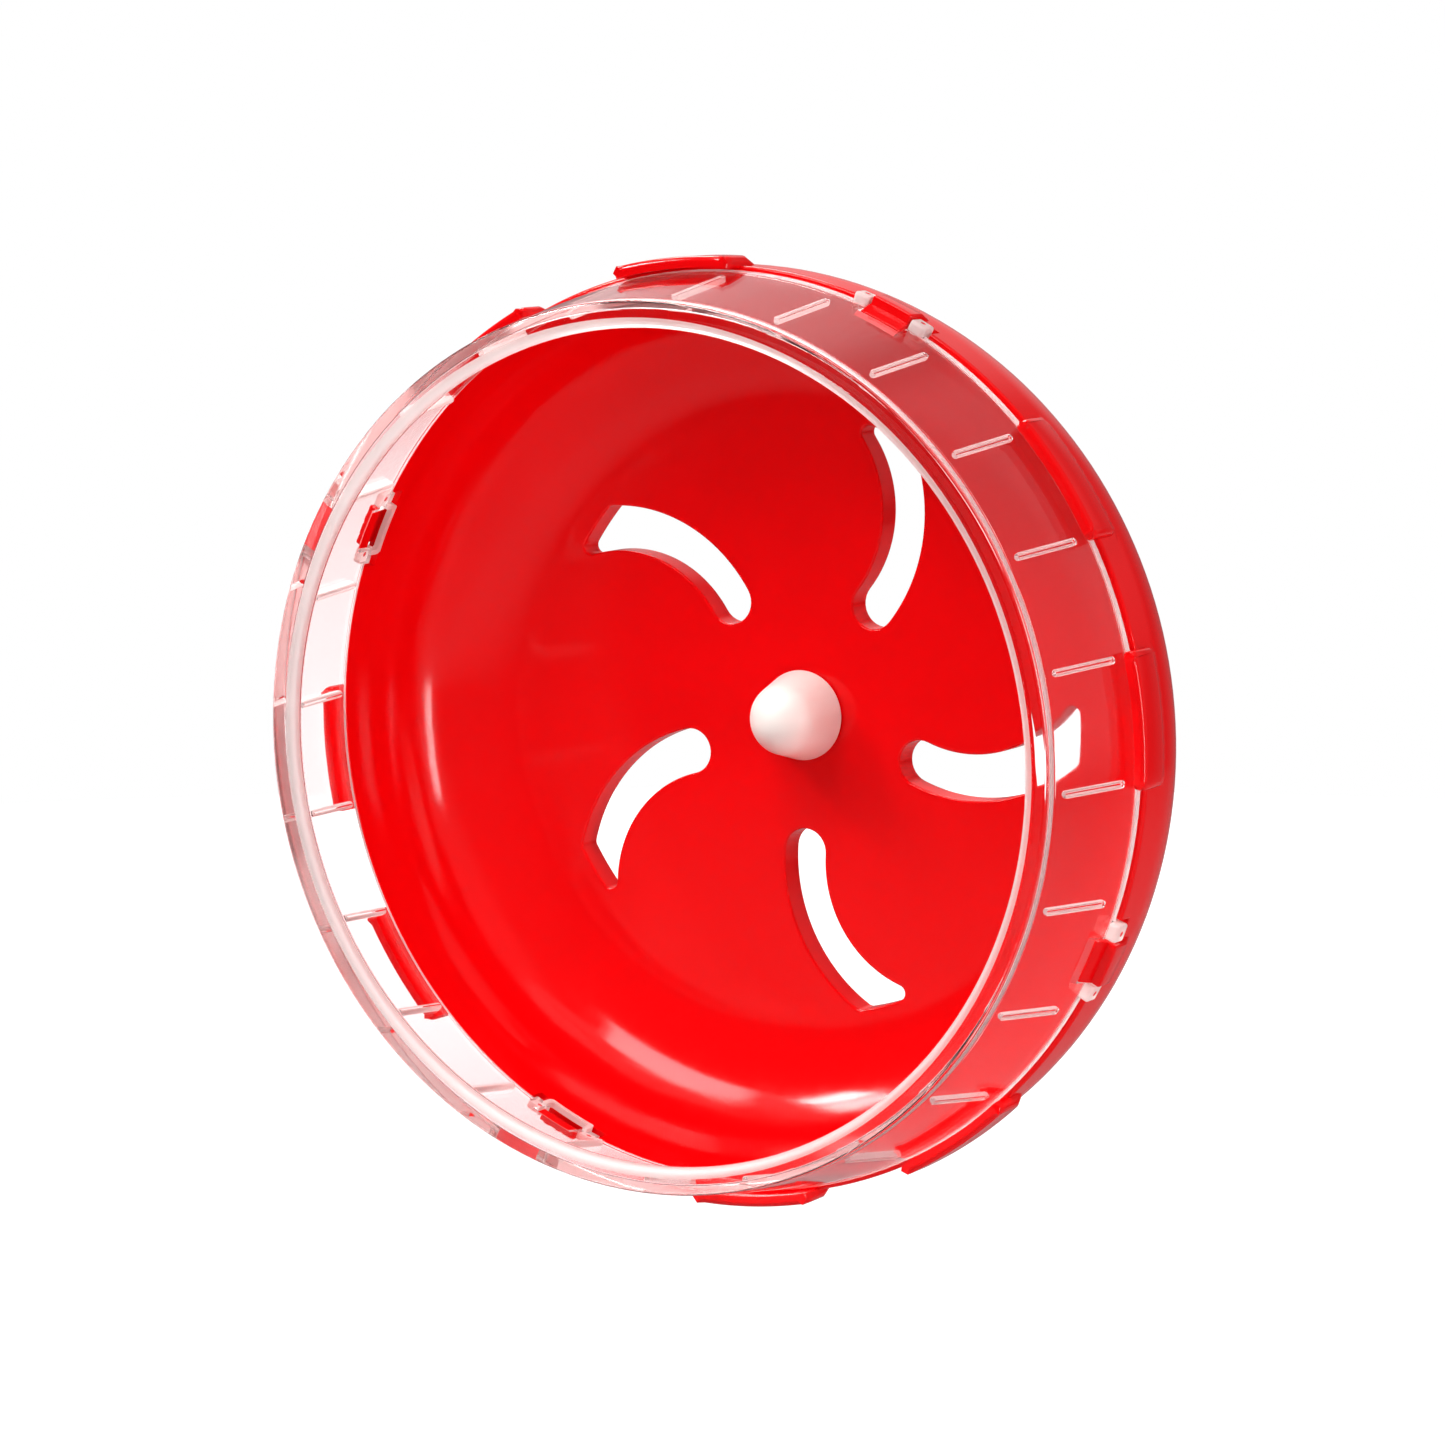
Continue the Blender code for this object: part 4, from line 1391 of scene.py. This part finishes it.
    def notches(self) -> bmesh.types.BMesh:
        """Cuts in the rim that let the ring's frames in.

        Returns:
            The cutters, all in one bmesh.
        """
        size = self.layout
        inner = size.bowl_rim - size.bowl_wall - self.overrun
        outer = size.bowl_rim + self.overrun
        front = size.track_depth + size.gap - self.overrun
        rear = size.track_depth + size.frame_reach + size.gap
        shape = rim_block(
            [Corner(inner, front), Corner(outer, front), Corner(outer, rear), Corner(inner, rear)],
            size.frame_width + 2 * size.gap, size.track_rear, self.notch_steps)
        return repeated(shape, [turn(angle) for angle in size.joints(True)])

    def build(self, finishes: Finishes) -> None:
        """Builds and dresses the bowl.

        Args:
            finishes: The finishes of all pieces.
        """
        shape = carved(self.skin(), [
            (self.notches(), Cut.REMOVE), (self.tabs(), Cut.ADD), (self.tongues(), Cut.ADD),
            (self.catches(), Cut.ADD), (self.collars(), Cut.ADD), (self.openings(), Cut.REMOVE)])
        Piece("red_wheel_bowl", "rear_bowl", Body.WHEEL, "red_gloss_abs").place(shape, finishes.red)


@dataclass(frozen=True)
class AxleCap:
    """White domed cap, pushed over the spigot in front of the plate."""

    layout: Layout
    steps: int = 128
    foot: float = 6.9
    crown: float = 4.388
    crown_depth: float = 37.0
    wall: float = 1.2
    inner_crown: float = 3.43
    edge_round: float = 0.2

    def build(self, finishes: Finishes) -> None:
        """Builds and dresses the cap. Each dome is its crown's corner, rounded as far as the axis.

        Args:
            finishes: The finishes of all pieces.
        """
        base = self.layout.plate_front - self.layout.gap
        inner_depth = self.crown_depth + self.wall
        shape = turned([
            Corner(0, self.crown_depth), Corner(self.crown, self.crown_depth, self.crown - WELD),
            Corner(self.foot, base, self.edge_round),
            Corner(self.foot - self.wall, base, self.edge_round),
            Corner(self.inner_crown, inner_depth, self.inner_crown - WELD),
            Corner(0, inner_depth)], self.steps)
        Piece("white_axle_cap", "axle_cap", Body.WHEEL, "white_abs").place(shape, finishes.white)


@dataclass(frozen=True)
class Bearing:
    """Ball bearing behind the plate, with its dust shields and retaining ring."""

    layout: Layout
    steps: int = 96
    round_steps: int = 40
    circlip_steps: int = 72
    lug_steps: int = 6
    hole_steps: int = 20
    pitch_radius: float = 5.9
    ball: float = 1.5
    ball_detail: int = 4
    ball_count: int = 7
    shoulder: float = 0.95
    cage_half: float = 2.1
    cage_clearance: float = 0.2
    cage_round: float = 0.12
    pocket_length: float = 3.8
    shield: float = 0.4
    shield_inset: float = 0.15
    chamfer: float = 0.3
    edge_round: float = 0.1
    circlip: float = 0.8
    circlip_reach: float = 1.0
    circlip_outer: float = 9.3
    circlip_opening: float = math.radians(36)
    circlip_bearing: float = math.radians(90)
    lug_reach: float = 1.1
    lug_width: float = 2.2
    lug_overlap: float = 0.2
    lug_inset: float = 0.02
    lug_hole: float = 0.45
    lug_hole_offset: float = 0.15
    drill_length: float = 4.0

    @property
    def middle(self) -> float:
        """Depth of the ball circle."""
        return (self.layout.bearing_front + self.layout.bearing_rear) / 2

    def ball_places(self) -> list[Matrix]:
        """Places of the balls round the axle.

        Returns:
            One place for each ball.
        """
        seat = Matrix.Translation((self.pitch_radius, 0, self.middle))
        return [turn(math.tau * index / self.ball_count) @ seat for index in range(self.ball_count)]

    def groove(self) -> bmesh.types.BMesh:
        """Ring-shaped cutter for the ball track of either race.

        Returns:
            The cutter.
        """
        radius = self.ball + self.layout.ball_gap
        shape = bmesh.new()
        bmesh.ops.create_circle(shape, cap_ends=False, segments=self.round_steps, radius=radius)
        bmesh.ops.rotate(
            shape, verts=shape.verts, cent=(0, 0, 0), matrix=Matrix.Rotation(math.pi / 2, 3, "X"))
        bmesh.ops.translate(shape, verts=shape.verts, vec=(self.pitch_radius, 0, self.middle))
        return spin_round(shape, self.steps)

    def race(self, seat: float, shoulder: float) -> bmesh.types.BMesh:
        """Race between its seat and its shoulder, with its ball track cut in.

        Args:
            seat: Radius of the face that fits the axle or the boss.
            shoulder: Radius of the face beside the balls.

        Returns:
            The finished race.
        """
        section = ring_section(
            seat, shoulder, self.layout.bearing_front, self.layout.bearing_rear, self.chamfer,
            self.chamfer / 2)
        return carved(turned(section, self.steps), [(self.groove(), Cut.REMOVE)])

    def dust_shield(self, front: float, rear: float) -> bmesh.types.BMesh:
        """Thin ring that covers the gap between the races.

        Args:
            front: Depth of its front face.
            rear: Depth of its rear face.

        Returns:
            The shield.
        """
        inner = self.pitch_radius - self.shoulder + self.layout.gap
        outer = self.pitch_radius + self.shoulder - self.layout.ball_gap
        return turned(
            ring_section(outer, inner, front, rear, self.edge_round, self.edge_round), self.steps)

    def cage(self) -> bmesh.types.BMesh:
        """Nylon ring with one round pocket for each ball.

        Returns:
            The cage.
        """
        half_width = self.shoulder - self.cage_clearance
        ring = turned(ring_section(
            self.pitch_radius + half_width, self.pitch_radius - half_width,
            self.middle - self.cage_half, self.middle + self.cage_half, self.cage_round,
            self.cage_round), self.steps)
        radius = self.ball + self.layout.ball_gap
        pocket = bmesh.new()
        bmesh.ops.create_cone(
            pocket, cap_ends=True, segments=self.round_steps, radius1=radius, radius2=radius,
            depth=self.pocket_length)
        bmesh.ops.rotate(
            pocket, verts=pocket.verts, cent=(0, 0, 0), matrix=Matrix.Rotation(math.pi / 2, 3, "Y"))
        return carved(ring, [(repeated(pocket, self.ball_places()), Cut.REMOVE)])

    def retaining_ring(self) -> bmesh.types.BMesh:
        """Open spring ring in the boss's groove, with a drilled lug at each end.

        Returns:
            The retaining ring.
        """
        front = self.layout.bearing_rear + self.layout.gap
        rear = front + self.circlip
        inner = self.layout.bearing_outer - self.circlip_reach
        width = (math.tau - self.circlip_opening) * self.circlip_outer
        ring = rim_block(
            ring_section(
                self.circlip_outer, inner, front, rear, self.edge_round, self.edge_round),
            width, self.circlip_outer, self.circlip_steps)
        lug_radius = inner - self.lug_reach / 2
        swing = (math.tau - self.circlip_opening) / 2 - self.lug_width / 2 / self.circlip_outer
        ends = [turn(swing), turn(-swing)]
        lug = rim_block(
            ring_section(
                inner + self.lug_overlap, inner - self.lug_reach, front + self.lug_inset,
                rear - self.lug_inset, 0.0, self.edge_round),
            self.lug_width, self.circlip_outer, self.lug_steps)
        hole = bmesh.new()
        bmesh.ops.create_cone(
            hole, cap_ends=True, segments=self.hole_steps, radius1=self.lug_hole,
            radius2=self.lug_hole, depth=self.drill_length)
        bmesh.ops.translate(
            hole, verts=hole.verts, vec=(lug_radius + self.lug_hole_offset, 0, (front + rear) / 2))
        shape = carved(ring, [(repeated(lug, ends), Cut.ADD), (repeated(hole, ends), Cut.REMOVE)])
        shape.transform(Matrix.Rotation(self.circlip_bearing, 4, "Z"))
        return shape

    def build(self, finishes: Finishes) -> None:
        """Builds and dresses the bearing's pieces.

        Args:
            finishes: The finishes of all pieces.
        """
        size = self.layout
        inner_shoulder = self.pitch_radius - self.shoulder
        outer_shoulder = self.pitch_radius + self.shoulder
        Piece("steel_inner_race", "bearing_inner_race", Body.FIXED, "bearing_steel").place(
            self.race(size.bore, inner_shoulder), finishes.steel)
        Piece("steel_outer_race", "bearing_outer_race", Body.WHEEL, "bearing_steel").place(
            self.race(size.bearing_outer, outer_shoulder), finishes.steel)
        Piece("nylon_ball_cage", "bearing_cage", Body.CAGE, "natural_nylon").place(
            self.cage(), finishes.nylon)
        front = size.bearing_front + self.shield_inset
        rear = size.bearing_rear - self.shield_inset
        Piece("zinc_front_shield", "bearing_front_shield", Body.WHEEL, "zinc_plated_steel").place(
            self.dust_shield(front, front + self.shield), finishes.zinc)
        Piece("zinc_rear_shield", "bearing_rear_shield", Body.WHEEL, "zinc_plated_steel").place(
            self.dust_shield(rear - self.shield, rear), finishes.zinc)
        Piece("steel_retaining_ring", "bearing_circlip", Body.WHEEL, "bearing_steel").place(
            self.retaining_ring(), finishes.steel)
        for number, place in enumerate(self.ball_places(), start=1):
            ball = bmesh.new()
            bmesh.ops.create_icosphere(ball, subdivisions=self.ball_detail, radius=self.ball)
            ball.transform(place)
            Piece(f"steel_ball_{number}", f"bearing_ball_{number}", Body.CAGE, "bearing_steel").place(
                ball, finishes.steel)


@dataclass(frozen=True)
class AxleFixing:
    """Fixed stud with its spacers, and the collar, washer and nut that clamp a cage panel."""

    layout: Layout
    steps: int = 96
    head: float = 3.9
    head_height: float = 2.5
    head_round: float = 1.2
    rear: float = 79.4
    chamfer: float = 0.6
    thread_front: float = 69.0
    thread_pitch: float = 1.0
    thread_depth: float = 0.54
    thread_steps: int = 48
    shaft_lap: float = 0.5
    shaft_end_round: float = 0.4
    seat_round: float = 0.1
    head_edge: float = 0.15
    front_spacer: float = 4.0
    rear_spacer: float = 4.6
    spacer_round: float = 0.15
    collar: float = 8.0
    collar_front: float = 62.5
    collar_round: float = 0.6
    washer: float = 7.5
    washer_front: float = 70.5
    washer_thickness: float = 1.2
    nut_front: float = 72.0
    nut_length: float = 5.0
    nut_flats: float = 10.0
    nut_chamfer: float = 0.55
    nut_face_inset: float = 0.1
    nut_sides: int = 6
    bore_chamfer: float = 0.4
    overrun: float = 0.5

    def thread(self) -> bmesh.types.BMesh:
        """Screw thread: one V-shaped turn swept along the axis, cut flat and closed at both ends.

        Returns:
            The threaded rod, chamfered at its rear end.
        """
        near = WELD * 4
        pitch = self.thread_pitch
        # One spare turn at each end, for the flat cuts
        turns = math.ceil((self.rear - self.thread_front) / pitch) + 2
        shape = bmesh.new()
        crest = self.layout.axle
        root = crest - self.thread_depth
        low = self.thread_front - pitch
        flat = pitch / 8
        section = [
            (root, 0), (root, flat), (crest, pitch / 2 - flat / 2), (crest, pitch / 2 + flat / 2),
            (root, pitch - flat)]
        verts = [shape.verts.new((radius, 0, low + depth)) for radius, depth in section]
        last = shape.verts.new((root, 0, low + pitch))
        chain = verts + [last]
        edges = [shape.edges.new(pair) for pair in zip(chain, chain[1:])]
        bmesh.ops.spin(
            shape, geom=chain + edges, cent=(0, 0, 0), axis=(0, 0, 1),
            dvec=(0, 0, pitch / self.thread_steps), angle=math.tau * turns,
            steps=self.thread_steps * turns, use_duplicate=False)
        bmesh.ops.remove_doubles(shape, verts=shape.verts, dist=near)
        for depth, normal in ((self.thread_front, -1), (self.rear, 1)):
            bmesh.ops.bisect_plane(
                shape, geom=shape.verts[:] + shape.edges[:] + shape.faces[:], dist=WELD,
                plane_co=(0, 0, depth), plane_no=(0, 0, normal), clear_outer=True)
            rim = [
                edge for edge in shape.edges
                if edge.is_boundary and all(abs(vert.co.z - depth) < near for vert in edge.verts)]
            bmesh.ops.holes_fill(shape, edges=rim, sides=0)
        for vert in shape.verts:
            limit = crest - self.chamfer + (self.rear - vert.co.z)
            distance = math.hypot(vert.co.x, vert.co.y)
            if distance > limit:
                vert.co.x *= limit / distance
                vert.co.y *= limit / distance
        return tidy(shape)

    def stud(self) -> bmesh.types.BMesh:
        """Headed stud with its plain shaft and threaded end.

        Returns:
            The stud.
        """
        size = self.layout
        seat = size.spigot_front - size.gap
        shaft_rear = self.thread_front + self.shaft_lap
        shaft = turned([
            Corner(0, shaft_rear), Corner(size.axle, shaft_rear, self.shaft_end_round),
            Corner(size.axle, seat, self.seat_round), Corner(self.head, seat, self.head_edge),
            Corner(self.head, seat - self.head_height, self.head_round),
            Corner(0, seat - self.head_height)], self.steps)
        return carved(shaft, [(self.thread(), Cut.ADD)])

    def sleeve(self, outer: float, front: float, rear: float, edge: float) -> bmesh.types.BMesh:
        """Sleeve or collar about the stud, with rounded edges.

        Args:
            outer: Outer radius.
            front: Depth of its front face.
            rear: Depth of its rear face.
            edge: Rounding of its outer edges.

        Returns:
            The sleeve.
        """
        return turned(
            ring_section(outer, self.layout.bore, front, rear, edge, self.spacer_round), self.steps)

    def nut(self) -> bmesh.types.BMesh:
        """Hexagon nut, its corners chamfered round at both faces.

        Returns:
            The nut.
        """
        front = self.nut_front
        rear = front + self.nut_length
        bore = self.layout.bore
        corner = self.nut_flats / 2 / math.cos(math.pi / self.nut_sides)
        hexagon = bmesh.new()
        bmesh.ops.create_cone(
            hexagon, cap_ends=True, segments=self.nut_sides, radius1=corner, radius2=corner,
            depth=self.nut_length)
        bmesh.ops.translate(hexagon, verts=hexagon.verts, vec=(0, 0, (front + rear) / 2))
        flat_circle = self.nut_flats / 2 - self.nut_face_inset
        reach = corner - flat_circle + self.overrun
        slope = self.nut_chamfer * reach / (corner - flat_circle)
        barrel = turned([
            Corner(bore + self.bore_chamfer, rear), Corner(flat_circle, rear),
            Corner(flat_circle + reach, rear - slope), Corner(flat_circle + reach, front + slope),
            Corner(flat_circle, front), Corner(bore + self.bore_chamfer, front),
            Corner(bore, front + self.bore_chamfer), Corner(bore, rear - self.bore_chamfer)], self.steps)
        return carved(hexagon, [(barrel, Cut.KEEP)])

    def build(self, finishes: Finishes) -> None:
        """Builds and dresses the fixed pieces.

        Args:
            finishes: The finishes of all pieces.
        """
        size = self.layout
        rear_sleeve = size.bearing_rear + size.gap
        Piece("zinc_axle_stud", "axle_stud", Body.FIXED, "zinc_plated_steel").place(
            self.stud(), finishes.zinc)
        Piece("nylon_front_spacer", "front_spacer", Body.FIXED, "natural_nylon").place(
            self.sleeve(self.front_spacer, size.spigot_front, size.bearing_front - size.gap,
                        self.spacer_round), finishes.nylon)
        Piece("nylon_rear_spacer", "rear_spacer", Body.FIXED, "natural_nylon").place(
            self.sleeve(self.rear_spacer, rear_sleeve, self.collar_front - size.gap,
                        self.spacer_round), finishes.nylon)
        Piece("white_mount_collar", "mount_collar", Body.FIXED, "white_abs").place(
            self.sleeve(self.collar, self.collar_front, COLLAR_REAR, self.collar_round), finishes.white)
        Piece("zinc_panel_washer", "panel_washer", Body.FIXED, "zinc_plated_steel").place(
            self.sleeve(self.washer, self.washer_front, self.washer_front + self.washer_thickness,
                        self.spacer_round), finishes.zinc)
        Piece("zinc_hexagon_nut", "mount_nut", Body.FIXED, "zinc_plated_steel").place(
            self.nut(), finishes.zinc)


@dataclass(frozen=True)
class Side:
    """A side of the studio with a soft edge.

    The span is where the edge starts and ends: cosines between a ray and the side in the world, and
    distances from the middle towards the side, in metres, on the floor.
    """

    towards: tuple[float, float, float]
    span: tuple[float, float]


@dataclass(frozen=True)
class Softbox:
    """Oblong studio lamp, given by where it hangs, its size and how bright it is.

    Bearing counts in degrees from straight in front to the right, height in degrees above the level.
    """

    name: str
    bearing: float
    height: float
    distance: float
    width: float
    tall: float
    watts: float

    def place(self) -> None:
        """Hangs the lamp so that it faces the wheel."""
        lamp = bpy.data.lights.new(self.name, "AREA")
        lamp.shape = "RECTANGLE"
        lamp.size = self.width
        lamp.size_y = self.tall
        lamp.energy = self.watts
        item = bpy.data.objects.new(self.name, lamp)
        bearing = math.radians(self.bearing)
        height = math.radians(self.height)
        towards = Vector((
            math.sin(bearing) * math.cos(height), -math.cos(bearing) * math.cos(height),
            math.sin(height)))
        item.location = towards * self.distance
        item.rotation_euler = towards.to_track_quat("Z", "Y").to_euler()
        bpy.context.scene.collection.objects.link(item)


@dataclass(frozen=True)
class Studio:
    """Camera at the photograph's viewing angle, pale floor, bright surround and soft lamps.

    The eye sees white all round, directly and through the clear plastic. The gloss of the pieces shows
    dimmer and tinted surroundings instead, so that their colours stay deep, and matt surfaces get a
    room light that is stronger from the right.
    """

    aim: tuple[float, float, float] = (-0.00205, -0.03878, 0.00109)
    turned_right: float = math.radians(29.91)
    raised: float = math.radians(7.54)
    distance: float = 0.70
    lens: float = 118.02
    sensor: float = 36.0
    floor_height: float = -0.16
    floor_radius: float = 1.0
    floor_sides: int = 96
    floor_glow: float = 0.8
    glow_span: tuple[float, float] = (0.35, 0.95)
    paper: str = "9A9A9A"
    paper_in_gloss: str = "B08688"
    paper_roughness: float = 0.9
    fibre_size: float = 4.0
    fibre_height: float = 0.1
    fibre_strength: float = 0.3
    bounce: float = 0.8
    bounce_side: Side = Side((0.95, -0.3, 0.0), (-0.15, 0.45))
    sheen: float = 0.1
    sheen_near: tuple[float, float] = (0.24, 0.34)
    sheen_far: tuple[float, float] = (0.6, 0.75)
    sheen_side: Side = Side((0.0, -1.0, 0.0), (0.24, 0.34))
    room_light: str = "5C5C5C"
    right_light: str = "E2E0DE"
    right_side: Side = Side((0.95, -0.3, -0.1), (-0.1, 0.7))
    front_gloss: str = "B04548"
    dark_gloss: str = "664446"
    dark_side: Side = Side((0.0, 1.0, 0.0), (0.1, 0.5))
    rear_gloss: str = "96686A"
    rear_side: Side = Side((-0.5, 0.87, 0.1), (0.62, 0.95))
    side_gloss: str = "E7898B"
    lighter_side: Side = Side((0.75, 0.3, 0.6), (0.54, 0.74))
    panel_gloss: str = "E6B8B8"
    panel_side: Side = Side((-0.42, 0.78, 0.45), (0.86, 0.97))
    through_clear: float = 1.2
    lamps: tuple[Softbox, ...] = (
        Softbox("key_softbox", -58.0, 41.0, 0.95, 0.25, 0.17, 4.8),
        Softbox("overhead_softbox", -15.0, 57.0, 1.0, 0.5, 0.3, 4.2),
        Softbox("ceiling_softbox", 20.0, 80.0, 1.0, 0.8, 0.8, 1.0),
        Softbox("right_softbox", 70.0, 2.0, 1.0, 0.08, 0.42, 2.2),
        Softbox("rear_softbox", -140.0, 50.0, 1.0, 0.4, 0.3, 4.0))

    def camera(self) -> None:
        """Sets up the level camera, which looks at the wheel from its front right."""
        data = bpy.data.cameras.new("camera")
        data.lens = self.lens
        data.sensor_width = self.sensor
        item = bpy.data.objects.new("camera", data)
        back = Vector((
            math.sin(self.turned_right) * math.cos(self.raised),
            -math.cos(self.turned_right) * math.cos(self.raised), math.sin(self.raised)))
        item.location = Vector(self.aim) + back * self.distance
        item.rotation_euler = (math.pi / 2 - self.raised, 0, self.turned_right)
        bpy.context.scene.collection.objects.link(item)
        bpy.context.scene.camera = item

    def floor(self) -> None:
        """Pale round floor: white where the eye meets it, and a plain matt surface for light."""
        shape = bmesh.new()
        bmesh.ops.create_circle(
            shape, cap_ends=True, segments=self.floor_sides, radius=self.floor_radius)
        bmesh.ops.translate(shape, verts=shape.verts, vec=(0, 0, self.floor_height))
        item = as_object("studio_floor", shape)
        # Matt white paper: evenly pale, with a fibre too fine to see at this distance
        material, shader, place = blank("white_paper_floor")
        tree = material.node_tree
        fibre = noise(tree, place, self.fibre_size, detail=4.0)
        relief = bumped(tree, fibre, self.fibre_height, self.fibre_strength)
        tree.links.new(relief.outputs["Normal"], shader.inputs["Normal"])
        shader.inputs["Roughness"].default_value = self.paper_roughness
        seen, reflected = self.views(tree)
        paper = mixed(tree, reflected, linear(self.paper), linear(self.paper_in_gloss))
        tree.links.new(paper, shader.inputs["Base Color"])
        light = self.floor_light(tree, place, seen, reflected)
        tree.links.new(light, shader.inputs["Emission Strength"])
        shader.inputs["Emission Color"].default_value = WHITE
        item.data.materials.append(material)

    def floor_light(
            self, tree: bpy.types.NodeTree, place: bpy.types.NodeSocket, seen: bpy.types.NodeSocket,
            reflected: bpy.types.NodeSocket,
    ) -> bpy.types.NodeSocket:
        """Light that the floor gives off, for each way of seeing it.

        The eye sees it white, gloss shows a dim band in front of the wheel, and matt surfaces get a
        bounce from its right side.

        Args:
            tree: Node tree that gets the nodes.
            place: Output that gives the place in metres.
            seen: Share that is seen directly or straight through clear plastic.
            reflected: Share that is seen in gloss.

        Returns:
            The strength of the light.
        """
        rays = add_node(tree, "ShaderNodeLightPath")
        length = add_node(tree, "ShaderNodeVectorMath", links={0: place}, operation="LENGTH")
        distance = length.outputs["Value"]
        glow_start, glow_end = (share * self.floor_radius for share in self.glow_span)
        glow = mapped(tree, distance, (glow_start, glow_end), (self.floor_glow, 1.0))
        near = self.ramp(tree, distance, self.sheen_near)
        far = self.ramp(tree, distance, self.sheen_far)
        band = computed(tree, "SUBTRACT", near, far, clamp=True)
        lit_band = computed(tree, "MULTIPLY", band, self.facing(tree, place, self.sheen_side))
        sheen = computed(tree, "MULTIPLY", lit_band, self.sheen)
        in_gloss = computed(tree, "MULTIPLY", reflected, sheen)
        bounce = computed(tree, "MULTIPLY", self.facing(tree, place, self.bounce_side), self.bounce)
        on_matt = computed(tree, "MULTIPLY", bounce, rays.outputs["Is Diffuse Ray"])
        strength = add_node(
            tree, "ShaderNodeMix",
            links={
                "Factor": seen, "A": computed(tree, "MAXIMUM", in_gloss, on_matt),
                "B": computed(tree, "MULTIPLY", glow, self.gain(tree))})
        return strength.outputs["Result"]

    def views(self, tree: bpy.types.NodeTree) -> tuple[bpy.types.NodeSocket, bpy.types.NodeSocket]:
        """Sorts the rays that meet the studio by how the eye comes to see it.

        Args:
            tree: Node tree that gets the nodes.

        Returns:
            Share that is seen directly or straight through clear plastic, and share that is reflected,
            also within the plastic.
        """
        path = add_node(tree, "ShaderNodeLightPath").outputs
        through = path["Is Transmission Ray"]
        straight = computed(tree, "SUBTRACT", through, path["Diffuse Depth"], clamp=True)
        direct = computed(tree, "MAXIMUM", path["Is Camera Ray"], straight)
        bounced = computed(tree, "MULTIPLY", path["Glossy Depth"], through, clamp=True)
        seen = computed(tree, "SUBTRACT", direct, bounced)
        reflected = computed(tree, "MAXIMUM", path["Is Glossy Ray"], bounced)
        return seen, reflected

    def gain(self, tree: bpy.types.NodeTree) -> bpy.types.NodeSocket:
        """Brightness of the white around the wheel: a little more where it's seen through plastic.

        Args:
            tree: Node tree that gets the nodes.

        Returns:
            The brightness.
        """
        rays = add_node(tree, "ShaderNodeLightPath")
        gain = add_node(
            tree, "ShaderNodeMix", {"A": 1.0, "B": self.through_clear},
            {"Factor": rays.outputs["Is Transmission Ray"]})
        return gain.outputs["Result"]

    def ramp(
            self, tree: bpy.types.NodeTree, value: bpy.types.NodeSocket, span: tuple[float, float],
    ) -> bpy.types.NodeSocket:
        """Smooth step from 0 to 1 while a value crosses a span.

        Args:
            tree: Node tree that gets the node.
            value: Output that gives the value.
            span: Where the step starts and ends.

        Returns:
            The step.
        """
        step = add_node(
            tree, "ShaderNodeMapRange", {"From Min": span[0], "From Max": span[1]}, {"Value": value},
            interpolation_type="SMOOTHSTEP")
        return step.outputs["Result"]

    def facing(
            self, tree: bpy.types.NodeTree, towards: bpy.types.NodeSocket, side: Side,
    ) -> bpy.types.NodeSocket:
        """Smooth step from 0 to 1 as a direction, or a place on the floor, comes to a side.

        Args:
            tree: Node tree that gets the nodes.
            towards: Output that gives the direction or the place.
            side: The side.

        Returns:
            The step.
        """
        reach = add_node(
            tree, "ShaderNodeVectorMath", {1: Vector(side.towards).normalized()}, {0: towards},
            operation="DOT_PRODUCT")
        return self.ramp(tree, reach.outputs["Value"], side.span)

    def surround(self) -> None:
        """White backdrop, room light stronger from the right, and dim surroundings for gloss."""
        world = bpy.data.worlds.new("studio_room")
        bpy.context.scene.world = world
        world.use_nodes = True
        tree = world.node_tree
        towards = add_node(tree, "ShaderNodeTexCoord").outputs["Generated"]
        gloss = linear(self.front_gloss)
        for side, colour in (
                (self.dark_side, self.dark_gloss), (self.rear_side, self.rear_gloss),
                (self.lighter_side, self.side_gloss), (self.panel_side, self.panel_gloss)):
            gloss = mixed(tree, self.facing(tree, towards, side), gloss, linear(colour))
        right = self.facing(tree, towards, self.right_side)
        room = mixed(tree, right, linear(self.room_light), linear(self.right_light))
        seen, reflected = self.views(tree)
        lit = mixed(tree, reflected, room, gloss)
        around = mixed(tree, seen, lit, WHITE)
        background = tree.nodes["Background"]
        tree.links.new(around, background.inputs["Color"])
        tree.links.new(self.gain(tree), background.inputs["Strength"])

    def build(self) -> None:
        """Sets up the whole studio."""
        self.camera()
        self.floor()
        self.surround()
        for lamp in self.lamps:
            lamp.place()
        bpy.context.scene.view_settings.view_transform = "Standard"
        log.info("studio: %d lamps", len(self.lamps))


def main() -> None:
    """Builds the studio and every sub-assembly in order."""
    logging.basicConfig(level=logging.INFO, format="%(message)s")
    Studio().build()
    layout = Layout()
    finishes = Finishes.made()
    for assembly in (
            TrackRing(layout), Bowl(layout), AxleCap(layout), Bearing(layout), AxleFixing(layout)):
        assembly.build(finishes)


if __name__ == "__main__":
    main()
